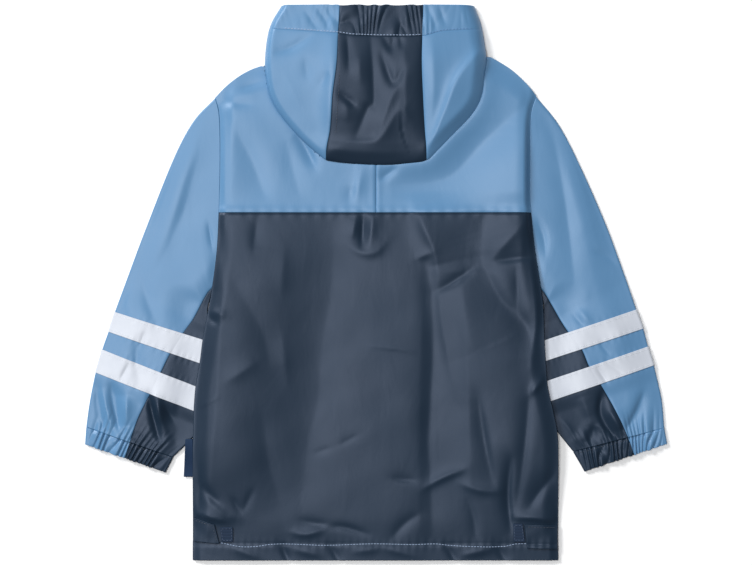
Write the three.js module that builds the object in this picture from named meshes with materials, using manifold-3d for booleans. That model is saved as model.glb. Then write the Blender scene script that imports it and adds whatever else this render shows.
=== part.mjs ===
import * as THREE from 'three';
import Module from 'manifold-3d';
import { mergeVertices } from 'three/addons/utils/BufferGeometryUtils.js';

// A child's raincoat lying front down on a flat surface, back up, with the hood laid on the back.
// Millimetres, +X to the right as seen from above, +Y towards the hood, +Z up, surface at z = 0.

const wasm = await Module();
wasm.setup();

// Driving sizes
const cloth = 1.0; // coated cloth
const elasticCloth = 1.4; // casing folded over an elastic
const tapeCloth = 1.0; // reflective tape
const seamGap = 0.3; // between two sewn pieces
const layerGap = 0.4; // between pieces that lie on each other
const edgeInset = 0.2; // of each piece from a curved seam line
const yokeSeamY = 73.5;
const hemY = -291.5;
const hemDepth = 21;
const underarmY = -8;
const bodyGap = 3.2; // air between front and back in the middle of the coat
const sideSeamGap = 0.5; // the same at the side seams
const frontLap = 12.5; // each front passes the centre by this much
const sides = ['left', 'right'];
const signOf = { left: -1, right: 1 };

// Small helpers
const clamp = (value) => Math.min(1, Math.max(0, value));
const mix = (from, to, share) => from + (to - from) * share;
const smooth = (low, high, value) => {
  const share = clamp((value - low) / (high - low));
  return share * share * (3 - 2 * share);
};

// even steps from one value to another, both ends included
const spaced = (from, to, cells) => Array.from({ length: cells + 1 }, (_, i) => mix(from, to, i / cells));

// smooth curve through two columns of a table, whose first column runs up or down
function curveOf(rows, from, to) {
  const sorted = [...rows].sort((a, b) => a[from] - b[from]);
  const keys = sorted.map((row) => row[from]);
  const values = sorted.map((row) => row[to]);
  const last = keys.length - 1;
  const slope = (i) => {
    const before = Math.max(0, i - 1);
    const after = Math.min(last, i + 1);
    return (values[after] - values[before]) / (keys[after] - keys[before]);
  };
  return (key) => {
    if (key <= keys[0]) return values[0];
    if (key >= keys[last]) return values[last];
    const i = keys.findIndex((next) => next > key) - 1;
    const span = keys[i + 1] - keys[i];
    const t = (key - keys[i]) / span;
    const start = 2 * t ** 3 - 3 * t ** 2 + 1;
    const startSlope = t ** 3 - 2 * t ** 2 + t;
    const endSlope = t ** 3 - t ** 2;
    return values[i] * start + values[i + 1] * (1 - start)
      + span * (slope(i) * startSlope + slope(i + 1) * endSlope);
  };
}

const bothSides = (rows, key) => ({ left: curveOf(rows, key, 'left'), right: curveOf(rows, key, 'right') });

// closed wall between two grids of points of the same size; a ring joins its last column to its first
function wallBetween(outer, inner, isRing = false) {
  const rowCount = outer.length;
  const columnCount = outer[0].length;
  const points = [...outer.flat(), ...inner.flat()];
  const at = (layer, row, column) => (layer * rowCount + row) * columnCount + (column % columnCount);
  const triangles = [];
  const quad = (a, b, c, d) => triangles.push([a, b, c], [a, c, d]);
  const lastRow = rowCount - 1;
  const lastColumn = isRing ? columnCount : columnCount - 1;
  for (let row = 0; row < lastRow; row++) {
    for (let column = 0; column < lastColumn; column++) {
      quad(at(0, row, column), at(0, row, column + 1), at(0, row + 1, column + 1), at(0, row + 1, column));
      quad(at(1, row, column), at(1, row + 1, column), at(1, row + 1, column + 1), at(1, row, column + 1));
    }
    if (!isRing) {
      quad(at(0, row, 0), at(0, row + 1, 0), at(1, row + 1, 0), at(1, row, 0));
      quad(at(0, row + 1, lastColumn), at(0, row, lastColumn), at(1, row, lastColumn), at(1, row + 1, lastColumn));
    }
  }
  for (let column = 0; column < lastColumn; column++) {
    quad(at(0, 0, column + 1), at(0, 0, column), at(1, 0, column), at(1, 0, column + 1));
    quad(at(0, lastRow, column), at(0, lastRow, column + 1), at(1, lastRow, column + 1), at(1, lastRow, column));
  }
  let volume = 0;
  for (const [a, b, c] of triangles) {
    volume += points[a].dot(new THREE.Vector3().crossVectors(points[b], points[c]));
  }
  const index = triangles.flatMap(([a, b, c]) => (volume > 0 ? [a, b, c] : [a, c, b]));
  const geometry = new THREE.BufferGeometry();
  geometry.setAttribute('position', new THREE.Float32BufferAttribute(points.flatMap((p) => p.toArray()), 3));
  geometry.setIndex(index);
  return geometry;
}

const gridOf = (rowValues, columnValues, pointAt) =>
  rowValues.map((row) => columnValues.map((column) => pointAt(row, column)));

const shifted = (grid, height) => grid.map((row) => row.map((p) => new THREE.Vector3(p.x, p.y, p.z + height)));

const isEnd = (which, index, last) => (
  (index === 0 && which !== 'last') || (index === last && which !== 'first'));

// the grid moved along its own normals; a positive distance moves it up.
// Its 'first', 'last' or 'both' end rows and columns can be cut square, so that the next piece fits there.
function movedOut(grid, distance, square) {
  const lastRow = grid.length - 1;
  const lastColumn = grid[0].length - 1;
  return grid.map((row, i) => row.map((point, j) => {
    const along = grid[Math.min(lastRow, i + 1)][j].clone().sub(grid[Math.max(0, i - 1)][j]);
    const across = grid[i][Math.min(lastColumn, j + 1)].clone().sub(grid[i][Math.max(0, j - 1)]);
    const normal = along.cross(across).normalize();
    if (normal.z < 0) normal.negate();
    if (isEnd(square.columns, j, lastColumn)) normal.x = 0;
    if (isEnd(square.rows, i, lastRow)) normal.y = 0;
    return point.clone().addScaledVector(normal.normalize(), distance);
  }));
}

// surface stretched between four edges, each a function of 0 to 1
function patch(bottom, top, start, end, u, v) {
  const corner = bottom(0).clone().multiplyScalar((1 - u) * (1 - v))
    .addScaledVector(bottom(1), u * (1 - v))
    .addScaledVector(top(0), (1 - u) * v)
    .addScaledVector(top(1), u * v);
  return bottom(u).clone().multiplyScalar(1 - v)
    .addScaledVector(top(u), v)
    .addScaledVector(start(v), 1 - u)
    .addScaledVector(end(v), u)
    .sub(corner);
}

// solid geometry with its doubled vertices merged, as the boolean library wants it
function toManifold(geometry) {
  const bare = geometry.clone();
  bare.deleteAttribute('normal');
  bare.deleteAttribute('uv');
  const merged = mergeVertices(bare, 1e-4);
  return new wasm.Manifold(new wasm.Mesh({
    numProp: 3,
    vertProperties: new Float32Array(merged.attributes.position.array),
    triVerts: new Uint32Array(merged.index.array),
  }));
}

function fromManifold(solid) {
  const mesh = solid.getMesh();
  const geometry = new THREE.BufferGeometry();
  geometry.setAttribute('position', new THREE.Float32BufferAttribute(mesh.vertProperties, 3));
  geometry.setIndex(Array.from(mesh.triVerts));
  return geometry;
}

// Materials
const finish = (color, roughness, metalness = 0) => new THREE.MeshStandardMaterial({ color, roughness, metalness });
const blueCloth = finish('#7ba3cf', 0.42);
const navyCloth = finish('#39465a', 0.38);
const whiteTape = finish('#e6e9f0', 0.5);
const navyTape = finish('#232c3b', 0.7);
const studMetal = finish('#8d929a', 0.35, 0.9);

const coat = new THREE.Group();
function add(name, geometry, material) {
  const mesh = new THREE.Mesh(geometry, material);
  mesh.name = name;
  coat.add(mesh);
}

// Outlines of the body
// side edge of the coat: armhole seam down to the underarm, then the side seam down to the hem
const sideEdge = bothSides([
  { y: 195, left: 169.4, right: 168.3 },
  { y: 182, left: 165.6, right: 163.8 },
  { y: 165, left: 164.1, right: 162 },
  { y: 125, left: 163.8, right: 161.7 },
  { y: 88, left: 164.5, right: 161.8 },
  { y: 73.5, left: 165, right: 162.9 },
  { y: 34, left: 167, right: 166.8 },
  { y: -8, left: 172.2, right: 173 },
  { y: -24, left: 175, right: 175.2 },
  { y: -60, left: 181.7, right: 176.6 },
  { y: -84, left: 184.8, right: 178 },
  { y: -108, left: 189, right: 179.8 },
  { y: -134, left: 191.1, right: 185.5 },
  { y: -157, left: 191.6, right: 190 },
  { y: -175, left: 192.2, right: 191.1 },
  { y: -291.5, left: 192.4, right: 191.3 },
], 'y');

const shoulderTip = { left: { x: 169.2, y: 193.9 }, right: { x: 168.2, y: 195.4 } };

// back neckline and shoulder line, by the distance from the centre back
const backTopLine = bothSides([
  { x: 0, left: 213, right: 213 },
  { x: 60, left: 217, right: 218 },
  { x: 105, left: 226, right: 233 },
  { x: 118, left: 226.8, right: 236.4 },
  { x: 128, left: 224.6, right: 232 },
  { x: 143, left: 216.8, right: 222.4 },
  { x: 158, left: 205.3, right: 208.4 },
  { x: 169, left: 194, right: 195.2 },
], 'x');

const frontTopLine = bothSides([
  { x: 0, left: 178, right: 178 },
  { x: 14, left: 178, right: 178 },
  { x: 40, left: 182, right: 183 },
  { x: 75, left: 195, right: 198 },
  { x: 100, left: 212, right: 217 },
  { x: 118, left: 226.8, right: 236.4 },
  { x: 128, left: 224.6, right: 232 },
  { x: 143, left: 216.8, right: 222.4 },
  { x: 158, left: 205.3, right: 208.4 },
  { x: 169, left: 194, right: 195.2 },
], 'x');

// Main folds of the back: a ridge (height over 0) or a trough from one place to another
const backFolds = [
  { name: 'pleat at the yoke', x1: -12, y1: 76, x2: -12, y2: 36, width: 8, height: -1.3 },
  { name: 'crease right of the middle', x1: 111, y1: 70, x2: 108, y2: 8, width: 8, height: -1.6 },
  { name: 'slanted crease', x1: 64, y1: -9, x2: 99, y2: 14, width: 8, height: -1.3 },
  { name: 'long ridge', x1: 50, y1: 27, x2: 59, y2: -157, width: 14, height: 2.4 },
  { name: 'ridge below the yoke', x1: 118, y1: 62, x2: 150, y2: 52, width: 12, height: 1.6 },
  { name: 'crease to the underarm', x1: 120, y1: 21, x2: 165, y2: 50, width: 8, height: -1.3 },
  { name: 'ridge at the right side', x1: 142, y1: 12, x2: 148, y2: -50, width: 14, height: 1.8 },
  { name: 'lower right trough', x1: 134, y1: -132, x2: 131, y2: -252, width: 11, height: -1.6 },
  { name: 'left trough', x1: -86, y1: 70, x2: -90, y2: -123, width: 13, height: -1.3 },
  { name: 'left ridge', x1: -112, y1: 66, x2: -114, y2: -110, width: 13, height: 1.6 },
  { name: 'low slanted crease', x1: 75, y1: -210, x2: 109, y2: -197, width: 8, height: -1.1 },
  { name: 'lower left crease', x1: -168, y1: -228, x2: -143, y2: -249, width: 8, height: -1 },
  { name: 'crease to the right hem', x1: 188, y1: -207, x2: 162, y2: -238, width: 8, height: -1.1 },
  { name: 'right shoulder ridge', x1: 92, y1: 138, x2: 146, y2: 176, width: 13, height: 1.7 },
  { name: 'left shoulder ridge', x1: -92, y1: 138, x2: -140, y2: 174, width: 13, height: 1.5 },
];

// rounded ridge over a line, tapered towards its two ends
function foldHeight(folds, x, y) {
  let height = 0;
  for (const fold of folds) {
    const dx = fold.x2 - fold.x1;
    const dy = fold.y2 - fold.y1;
    const along = clamp(((x - fold.x1) * dx + (y - fold.y1) * dy) / (dx * dx + dy * dy));
    const away = Math.hypot(x - fold.x1 - dx * along, y - fold.y1 - dy * along);
    const taper = Math.sin(Math.PI * mix(0.12, 0.88, along));
    height += fold.height * taper * Math.exp(-((away / fold.width) ** 2));
  }
  return height;
}

// The sleeve is tucked under the side of the coat, which lies over it
const tuck = { height: 5.7, start: underarmY, full: -34, end: -166, flat: -202, reach: 30, fade: 62 };

// height of the underside of the fronts
function frontLift(x, y) {
  const inset = sideEdge[x < 0 ? 'left' : 'right'](y) - Math.abs(x);
  const rise = smooth(-tuck.start, -tuck.full, -y) * (1 - smooth(-tuck.end, -tuck.flat, -y));
  return tuck.height * rise * (1 - smooth(tuck.reach, tuck.fade, inset));
}

// air between the two layers along the armhole: least at the shoulder and the underarm
function armholeGap(side, y) {
  const share = clamp((shoulderTip[side].y - y) / (shoulderTip[side].y - underarmY));
  return mix(sideSeamGap, 2.2, Math.sin(Math.PI * share) ** 0.7);
}

// height of the top face of the back
function backTop(x, y) {
  const side = x < 0 ? 'left' : 'right';
  const inset = sideEdge[side](y) - Math.abs(x);
  const edgeGap = y > underarmY ? armholeGap(side, y) : sideSeamGap;
  const shoulderFade = 28;
  const belowShoulder = backTopLine[side](Math.abs(x)) - y + 60 * (1 - smooth(92, 116, Math.abs(x)));
  const hemGap = 1.8;
  let gap = mix(edgeGap, bodyGap, smooth(0, 45, inset));
  gap = mix(sideSeamGap, gap, smooth(0, shoulderFade, belowShoulder));
  gap = mix(Math.min(gap, hemGap), gap, smooth(hemY, hemY + 45, y));
  const turnedHem = 0.5 * (1 - smooth(hemY + hemDepth - 1, hemY + hemDepth + 1, y));
  const folds = foldHeight(backFolds, x, y) * smooth(0, 14, inset) * smooth(hemY, hemY + 20, y);
  return frontLift(x, y) + 2 * cloth + gap + turnedHem + folds;
}

// Back: lower panel with the turned-up hem
const bandTop = hemY + hemDepth;
const backRows = [
  ...spaced(yokeSeamY - seamGap / 2, underarmY, 5),
  ...spaced(underarmY - 8, tuck.full, 3),
  ...spaced(tuck.full - 18, tuck.end, 6),
  ...spaced(tuck.end - 12, tuck.flat, 2),
  ...spaced(tuck.flat - 16, bandTop + 1.5, 3),
  ...spaced(bandTop - 1.5, hemY, 2),
];
const backColumns = spaced(0, 1, 25);
const backGrid = gridOf(backRows, backColumns, (y, across) => {
  const x = mix(-sideEdge.left(y) + edgeInset, sideEdge.right(y) - edgeInset, across);
  return new THREE.Vector3(x, y, backTop(x, y));
});
const backUnder = backGrid.map((row) => row.map((p) => {
  const thickness = p.y < bandTop ? cloth + 0.5 : cloth;
  return new THREE.Vector3(p.x, p.y, p.z - thickness);
}));
add('back_body', wallBetween(backGrid, backUnder), navyCloth);

// Back yoke in two halves, sewn at the centre back
function yokePatch(side, centreX, topLine, heightAt, columns, rows) {
  const sign = signOf[side];
  const seamY = yokeSeamY + seamGap / 2;
  const flat = (x, y) => new THREE.Vector3(x, y, 0);
  const edgeX = (y) => sideEdge[side](y) - edgeInset;
  const bottom = (u) => flat(mix(centreX, edgeX(seamY), u), seamY);
  const top = (u) => {
    const x = mix(centreX, shoulderTip[side].x - edgeInset, u);
    return flat(x, topLine[side](Math.abs(x)));
  };
  const start = (v) => flat(centreX, mix(seamY, topLine[side](Math.abs(centreX)), v));
  const end = (v) => {
    const y = mix(seamY, topLine[side](shoulderTip[side].x - edgeInset), v);
    return flat(edgeX(y), y);
  };
  return gridOf(rows, columns, (v, u) => {
    const point = patch(bottom, top, start, end, u, v);
    point.x *= sign;
    point.z = heightAt(point.x, point.y);
    return point;
  });
}
for (const side of sides) {
  const grid = yokePatch(side, seamGap / 2, backTopLine, backTop, spaced(0, 1, 11), spaced(0, 1, 9));
  add(`back_yoke_${side}`, wallBetween(grid, shifted(grid, -cloth)), blueCloth);
}

// Fronts: the left one lies outermost, and the right one passes under it at the centre
const lapRise = cloth + seamGap;
const lapStep = { low: frontLap + 0.7, high: frontLap + 12 };
const studYs = [150, 58, -34, -126, -218];
const stud = { capRadius: 6, bodyRadius: 4, play: 0.3, segments: 12 };

function frontUnderside(side, x, y) {
  const lap = side === 'right' ? lapRise * (1 - smooth(lapStep.low, lapStep.high, x)) : 0;
  return frontLift(x, y) + lap;
}

const frontRows = [
  ...spaced(yokeSeamY - seamGap / 2, underarmY, 2),
  ...spaced(underarmY - 8, tuck.full, 3),
  ...spaced(tuck.full - 33, tuck.end, 3),
  ...spaced(tuck.end - 12, tuck.flat, 2),
  ...spaced(tuck.flat - 45, hemY, 1),
];
const frontInsets = [edgeInset, 15, tuck.reach, 40, 51, tuck.fade];

function frontBodyGrid(side) {
  const sign = signOf[side];
  const middle = [lapStep.high + 30, lapStep.high, lapStep.low, -frontLap];
  return frontRows.map((y) => {
    const xs = frontInsets.map((inset) => sideEdge[side](y) - inset).concat(middle);
    return xs.map((distance) => {
      const x = sign * distance;
      return new THREE.Vector3(x, y, frontUnderside(side, x, y) + cloth);
    });
  });
}

// places along the front neckline, shared by the yokes and by the hood parts that meet them there
const neckXs = [lapStep.low, lapStep.high, 42, 60, 78, 95, 110];

// drill a stud hole down through a front panel
function drilled(geometry, ys, radius) {
  let solid = toManifold(geometry);
  for (const y of ys) {
    const drill = new THREE.CylinderGeometry(radius, radius, 12, stud.segments);
    drill.rotateX(Math.PI / 2);
    drill.translate(0, y, 0);
    solid = solid.subtract(toManifold(drill));
  }
  return fromManifold(solid);
}

for (const side of sides) {
  const radius = stud.play + (side === 'left' ? stud.capRadius : stud.bodyRadius);
  const bodyGrid = frontBodyGrid(side);
  const body = wallBetween(bodyGrid, shifted(bodyGrid, -cloth));
  add(`front_body_${side}`, drilled(body, studYs.filter((y) => y < yokeSeamY), radius), navyCloth);
  const yokeWidth = shoulderTip[side].x - edgeInset + frontLap;
  const lapColumns = [0, ...neckXs.map((x) => (x + frontLap) / yokeWidth), 0.82, 0.91, 1];
  const heightAt = (x, y) => frontUnderside(side, x, y) + cloth;
  const yokeGrid = yokePatch(side, -frontLap, frontTopLine, heightAt, lapColumns, spaced(0, 1, 6));
  const yoke = wallBetween(yokeGrid, shifted(yokeGrid, -cloth));
  add(`front_yoke_${side}`, drilled(yoke, studYs.filter((y) => y > yokeSeamY), radius), blueCloth);
}

// Press studs of the front closure: a flush cap, and a body through the under lap
studYs.forEach((y, i) => {
  const height = lapRise + cloth;
  const profile = [[0, 0], [stud.capRadius, 0], [stud.capRadius, cloth - 0.1], [stud.bodyRadius, cloth],
    [stud.bodyRadius, height], [0, height]];
  const body = new THREE.LatheGeometry(profile.map(([r, z]) => new THREE.Vector2(r, z)), stud.segments);
  body.rotateX(Math.PI / 2);
  body.translate(0, y, 0);
  add(`press_stud_${i + 1}`, body, studMetal);
});

// Sleeves: flattened tubes laid along these stations, shoulder to cuff.
// Each has its outer and inner silhouette and the share of the width where blue meets navy.
const sleeveTables = {
  right: [
    { t: 0, outerX: 168.4, outerY: 195.2, innerX: 173.2, innerY: -8, colour: 0.985 },
    { t: 0.09, outerX: 190.5, outerY: 168, innerX: 174.1, innerY: -13, colour: 0.97 },
    { t: 0.18, outerX: 209, outerY: 134, innerX: 174.9, innerY: -18, colour: 0.95 },
    { t: 0.36, outerX: 240.5, outerY: 63.5, innerX: 176.1, innerY: -29, colour: 0.9 },
    { t: 0.5, outerX: 262, outerY: 5.5, innerX: 172.5, innerY: -46, colour: 0.79 },
    { t: 0.58, outerX: 273.5, outerY: -28.5, innerX: 166, innerY: -64.5, colour: 0.665 },
    { t: 0.64, outerX: 280.6, outerY: -48.3, innerX: 164, innerY: -87, colour: 0.558 },
    { t: 0.7, outerX: 285.8, outerY: -67.3, innerX: 165, innerY: -108.5, colour: 0.513 },
    { t: 0.76, outerX: 291.8, outerY: -86.8, innerX: 169, innerY: -129.5, colour: 0.46 },
    { t: 0.88, outerX: 300, outerY: -122, innerX: 189, innerY: -155, colour: 0.43 },
    { t: 1, outerX: 303, outerY: -152.5, innerX: 207, innerY: -177.5, colour: 0.4 },
  ],
  left: [
    { t: 0, outerX: 169.4, outerY: 193.7, innerX: 172.4, innerY: -8, colour: 0.985 },
    { t: 0.09, outerX: 191.5, outerY: 170, innerX: 173.6, innerY: -13, colour: 0.97 },
    { t: 0.18, outerX: 211, outerY: 134, innerX: 174.6, innerY: -18, colour: 0.95 },
    { t: 0.36, outerX: 242.6, outerY: 55, innerX: 176.9, innerY: -31, colour: 0.9 },
    { t: 0.5, outerX: 262, outerY: 3, innerX: 174, innerY: -48, colour: 0.8 },
    { t: 0.58, outerX: 274.3, outerY: -31, innerX: 168, innerY: -64.6, colour: 0.675 },
    { t: 0.64, outerX: 281, outerY: -51.6, innerX: 166, innerY: -91.3, colour: 0.569 },
    { t: 0.7, outerX: 287.6, outerY: -70.4, innerX: 168, innerY: -117.6, colour: 0.515 },
    { t: 0.76, outerX: 294.5, outerY: -94.4, innerX: 173, innerY: -142, colour: 0.473 },
    { t: 0.88, outerX: 300.8, outerY: -125, innerX: 192, innerY: -163, colour: 0.468 },
    { t: 1, outerX: 304.5, outerY: -151.5, innerX: 213, innerY: -183.5, colour: 0.5 },
  ],
};
const tapes = [{ name: 'upper', from: 0.58, to: 0.64 }, { name: 'lower', from: 0.7, to: 0.76 }];
const sleeveRows = [0, 0.06, 0.13, 0.2, 0.3, 0.4, 0.5, 0.58, 0.64, 0.7, 0.76, 0.82, 0.88, 0.94, 1];
const sleeveHeight = { edge: 2.6, middle: 5 };
const tapeLift = tapeCloth + seamGap; // the sleeve stands on the tape that passes under it

// soft long folds of the sleeve's top layer, by share of its length and of its width
const sleeveFolds = [
  { from: 0, to: 0.5, across: 0.35, width: 0.1, height: 0.8 },
  { from: 0.1, to: 0.55, across: 0.6, width: 0.09, height: -0.9 },
  { from: 0.8, to: 1.15, across: 0.22, width: 0.06, height: 0.9 },
  { from: 0.78, to: 1.15, across: 0.38, width: 0.05, height: -0.8 },
  { from: 0.8, to: 1.15, across: 0.55, width: 0.06, height: 0.9 },
  { from: 0.8, to: 1.15, across: 0.72, width: 0.05, height: -0.7 },
];

const sleeves = {};
for (const side of sides) {
  const rows = sleeveTables[side];
  sleeves[side] = {};
  for (const name of ['outerX', 'outerY', 'innerX', 'innerY', 'colour']) {
    sleeves[side][name] = curveOf(rows, 't', name);
  }
}

// place across the sleeve, from its outer silhouette; near the shoulder it bends along the armhole seam
function sleevePlace(side, t, distance, width) {
  const sleeve = sleeves[side];
  const share = distance / width;
  const y = mix(sleeve.outerY(t), sleeve.innerY(t), share);
  const straight = mix(sleeve.outerX(t), sleeve.innerX(t), share);
  const seamY = mix(sleeve.outerY(0), sleeve.innerY(0), share);
  const seamX = sideEdge[side](seamY) + edgeInset;
  const bend = (seamX - mix(sleeve.outerX(0), sleeve.innerX(0), share)) * (1 - smooth(0, 0.2, t));
  return new THREE.Vector2(signOf[side] * (straight + bend), y);
}

// height of the top layer over the underside
function sleeveRise(t, distance, width) {
  const share = distance / width;
  const tucked = 27 * smooth(0.3, 0.48, t) * (1 - smooth(0.86, 0.96, t));
  const fromInner = width - distance;
  const middle = smooth(0, 36, distance) * smooth(tucked, tucked + 32, fromInner);
  const atArmhole = 0.85 * Math.sin(Math.PI * clamp(share)) ** 0.7;
  const bulge = mix(atArmhole, middle, smooth(0, 0.15, t));
  let rise = mix(sleeveHeight.edge, sleeveHeight.middle, bulge);
  for (const fold of sleeveFolds) {
    const along = clamp((t - fold.from) / (fold.to - fold.from));
    const away = (share - fold.across) / fold.width;
    rise += fold.height * Math.sin(Math.PI * along) * Math.exp(-away * away) * bulge;
  }
  return rise;
}

const sleeveBase = (t) => tapeLift * smooth(0.5, 0.58, t) * (1 - smooth(0.76, 0.82, t));

// half circle from the bottom layer up to the top layer, without its two ends
const foldAngles = [-45, 0, 45].map((degrees) => THREE.MathUtils.degToRad(degrees));

// section of a flattened tube in two open halves that meet at the colour seams, and their outward normals
function tubeSection({ width, base, radius, seam, rise, outerCells, innerCells }) {
  const topAt = (distance) => ({ a: distance, z: base + rise(distance) });
  const bottomAt = (distance) => ({ a: distance, z: base });
  const outerFold = foldAngles.map((angle) => (
    { a: radius * (1 - Math.cos(angle)), z: base + radius * (1 + Math.sin(angle)) }));
  const innerFold = outerFold.map(({ a, z }) => ({ a: width - a, z })).reverse();
  const half = seamGap / 2;
  const outer = [
    ...outerCells.bottom.map((share) => bottomAt(mix(radius, seam - half, share))).reverse(),
    ...outerFold,
    ...outerCells.top.map((share) => topAt(mix(radius, seam - half, share))),
  ];
  const inner = [
    ...innerCells.top.map((share) => topAt(mix(seam + half, width - radius, share))),
    ...innerFold,
    ...innerCells.bottom.map((share) => bottomAt(mix(seam + half, width - radius, share))).reverse(),
  ];
  return { outer, inner };
}

// the loop moved along its normals in its own plane; positive is outwards
function offsetLoop(loop, distance, isRing = false) {
  const count = loop.length;
  const pick = (i) => loop[isRing ? (i + count) % count : Math.min(count - 1, Math.max(0, i))];
  return loop.map((point, i) => {
    const before = pick(i - 1);
    const after = pick(i + 1);
    const da = after.a - before.a;
    const dz = after.z - before.z;
    const length = Math.hypot(da, dz);
    return { a: point.a - (dz / length) * distance, z: point.z + (da / length) * distance };
  });
}

const sleeveCells = {
  outerCells: { top: [0, 0.06, 0.14, 0.28, 0.46, 0.64, 0.82, 1], bottom: [0, 0.1, 0.35, 0.7, 1] },
  innerCells: { top: [0, 0.18, 0.36, 0.54, 0.74, 0.9, 1], bottom: [0, 0.4, 0.8, 1] },
};

function sleeveSection(side, t) {
  const sleeve = sleeves[side];
  const width = Math.hypot(sleeve.outerX(t) - sleeve.innerX(t), sleeve.outerY(t) - sleeve.innerY(t));
  const section = tubeSection({
    width,
    base: sleeveBase(t),
    radius: sleeveHeight.edge / 2,
    seam: width * sleeve.colour(t),
    rise: (distance) => sleeveRise(t, distance, width),
    ...sleeveCells,
  });
  const place = (loop) => loop.map(({ a, z }) => {
    const spot = sleevePlace(side, t, a, width);
    return new THREE.Vector3(spot.x, spot.y, z);
  });
  return { ...section, place };
}

for (const side of sides) {
  const sections = sleeveRows.map((t) => sleeveSection(side, t));
  const panel = (key) => wallBetween(
    sections.map((section) => section.place(section[key])),
    sections.map((section) => section.place(offsetLoop(section[key], -cloth))),
  );
  add(`sleeve_${side}_outer`, panel('outer'), blueCloth);
  add(`sleeve_${side}_under`, panel('inner'), navyCloth);

  // reflective tapes: rings round the sleeve, made from its own points
  for (const tape of tapes) {
    const under = sleeveRows.filter((t) => t >= tape.from && t <= tape.to).map((t) => sleeveSection(side, t));
    const ring = (distance) => under.map((section) => (
      section.place(offsetLoop([...section.outer, ...section.inner], distance, true))));
    add(`stripe_${side}_${tape.name}`, wallBetween(ring(seamGap + tapeCloth), ring(seamGap), true), whiteTape);
  }
}

// Cuffs: the ends of both sleeve panels, gathered on an elastic
const cuffTables = {
  right: { outerX: 306, outerY: -168.8, innerX: 219, innerY: -198 },
  left: { outerX: 305.8, outerY: -169.4, innerX: 221, innerY: -199 },
};
const cuff = { edge: 3.4, middle: 5, waves: 11, depth: 0.8, rows: 3 };
const cuffCells = {
  outerCells: { top: spaced(0, 1, 18), bottom: spaced(0, 1, 5) },
  innerCells: { top: spaced(0, 1, 20), bottom: spaced(0, 1, 5) },
};

function cuffSection(side, share) {
  const sleeve = sleeves[side];
  const end = cuffTables[side];
  const down = mix(seamGap / 18, 1, share);
  const outer = new THREE.Vector2(mix(sleeve.outerX(1), end.outerX, down), mix(sleeve.outerY(1), end.outerY, down));
  const inner = new THREE.Vector2(mix(sleeve.innerX(1), end.innerX, down), mix(sleeve.innerY(1), end.innerY, down));
  outer.y -= seamGap;
  inner.y -= seamGap;
  const width = outer.distanceTo(inner);
  const section = tubeSection({
    width,
    base: 0,
    radius: cuff.edge / 2,
    seam: width * sleeve.colour(1),
    rise: (distance) => {
      const inside = smooth(0, 14, distance - cuff.edge / 2) * smooth(0, 14, width - cuff.edge / 2 - distance);
      const wave = Math.cos((2 * Math.PI * cuff.waves * distance) / width);
      return cuff.edge + inside * (cuff.middle - cuff.edge + cuff.depth * wave);
    },
    ...cuffCells,
  });
  const place = (loop) => loop.map(({ a, z }) => {
    const spot = outer.clone().lerp(inner, a / width);
    return new THREE.Vector3(signOf[side] * spot.x, spot.y, z);
  });
  return { ...section, place };
}

for (const side of sides) {
  const sections = spaced(0, 1, cuff.rows).map((share) => cuffSection(side, share));
  const panel = (key) => wallBetween(
    sections.map((section) => section.place(section[key])),
    sections.map((section) => section.place(offsetLoop(section[key], -elasticCloth))),
  );
  add(`cuff_${side}_outer`, panel('outer'), blueCloth);
  add(`cuff_${side}_under`, panel('inner'), navyCloth);
}

// Hood, laid on the back: skin over one rounded solid of its folded layers
const hood = { top: 290, dome: 11, roll: 12, crown: 1.5, yokeTop: 5.9, tableTop: 1.4 };

// half width of the hood and of its navy centre panel, down its length
const hoodSide = bothSides([
  { y: 290, left: 99.8, right: 103.6 },
  { y: 274, left: 109.4, right: 109.6 },
  { y: 259, left: 114, right: 113 },
  { y: 236, left: 116.6, right: 115.8 },
  { y: 213, left: 115.5, right: 114 },
  { y: 193, left: 110.5, right: 111 },
  { y: 176, left: 100.9, right: 102 },
  { y: 156, left: 84, right: 83 },
  { y: 138, left: 65, right: 65.2 },
  { y: 129, left: 54, right: 56 },
], 'y');
const hoodCentre = bothSides([
  { y: 290, left: 37.8, right: 49.4 },
  { y: 258, left: 39.6, right: 48.3 },
  { y: 229, left: 41, right: 47.7 },
  { y: 196, left: 45.2, right: 49 },
  { y: 160, left: 48, right: 51 },
  { y: 140, left: 51.8, right: 52.6 },
  { y: 123, left: 52.6, right: 53.2 },
], 'y');
const hoodBottom = curveOf([
  { x: -56, y: 129.5 },
  { x: -50, y: 127.5 },
  { x: -31, y: 125 },
  { x: 6, y: 123 },
  { x: 35, y: 124.6 },
  { x: 50, y: 126.6 },
  { x: 58, y: 129.5 },
], 'x', 'y');
const casingSeam = curveOf([
  { x: -116, y: 266 },
  { x: -42, y: 260.5 },
  { x: -20, y: 257.8 },
  { x: 48, y: 257.6 },
  { x: 70, y: 262.5 },
  { x: 114, y: 265 },
], 'x', 'y');

// closed outline of the hood but for its face edge, as short straight lines
const hoodOutline = [
  ...spaced(hood.top + 20, 130, 36).map((y) => new THREE.Vector2(-hoodSide.left(y), y)),
  ...spaced(-54, 55, 16).map((x) => new THREE.Vector2(x, hoodBottom(x))),
  ...spaced(130, hood.top + 20, 36).map((y) => new THREE.Vector2(hoodSide.right(y), y)),
];

// distance from the hood's outline, inwards
function hoodInset(x, y) {
  let nearest = Infinity;
  for (let i = 1; i < hoodOutline.length; i++) {
    const start = hoodOutline[i - 1];
    const step = hoodOutline[i].clone().sub(start);
    const away = new THREE.Vector2(x, y).sub(start);
    const share = clamp(away.dot(step) / step.lengthSq());
    nearest = Math.min(nearest, away.addScaledVector(step, -share).length());
  }
  return nearest;
}

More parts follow.
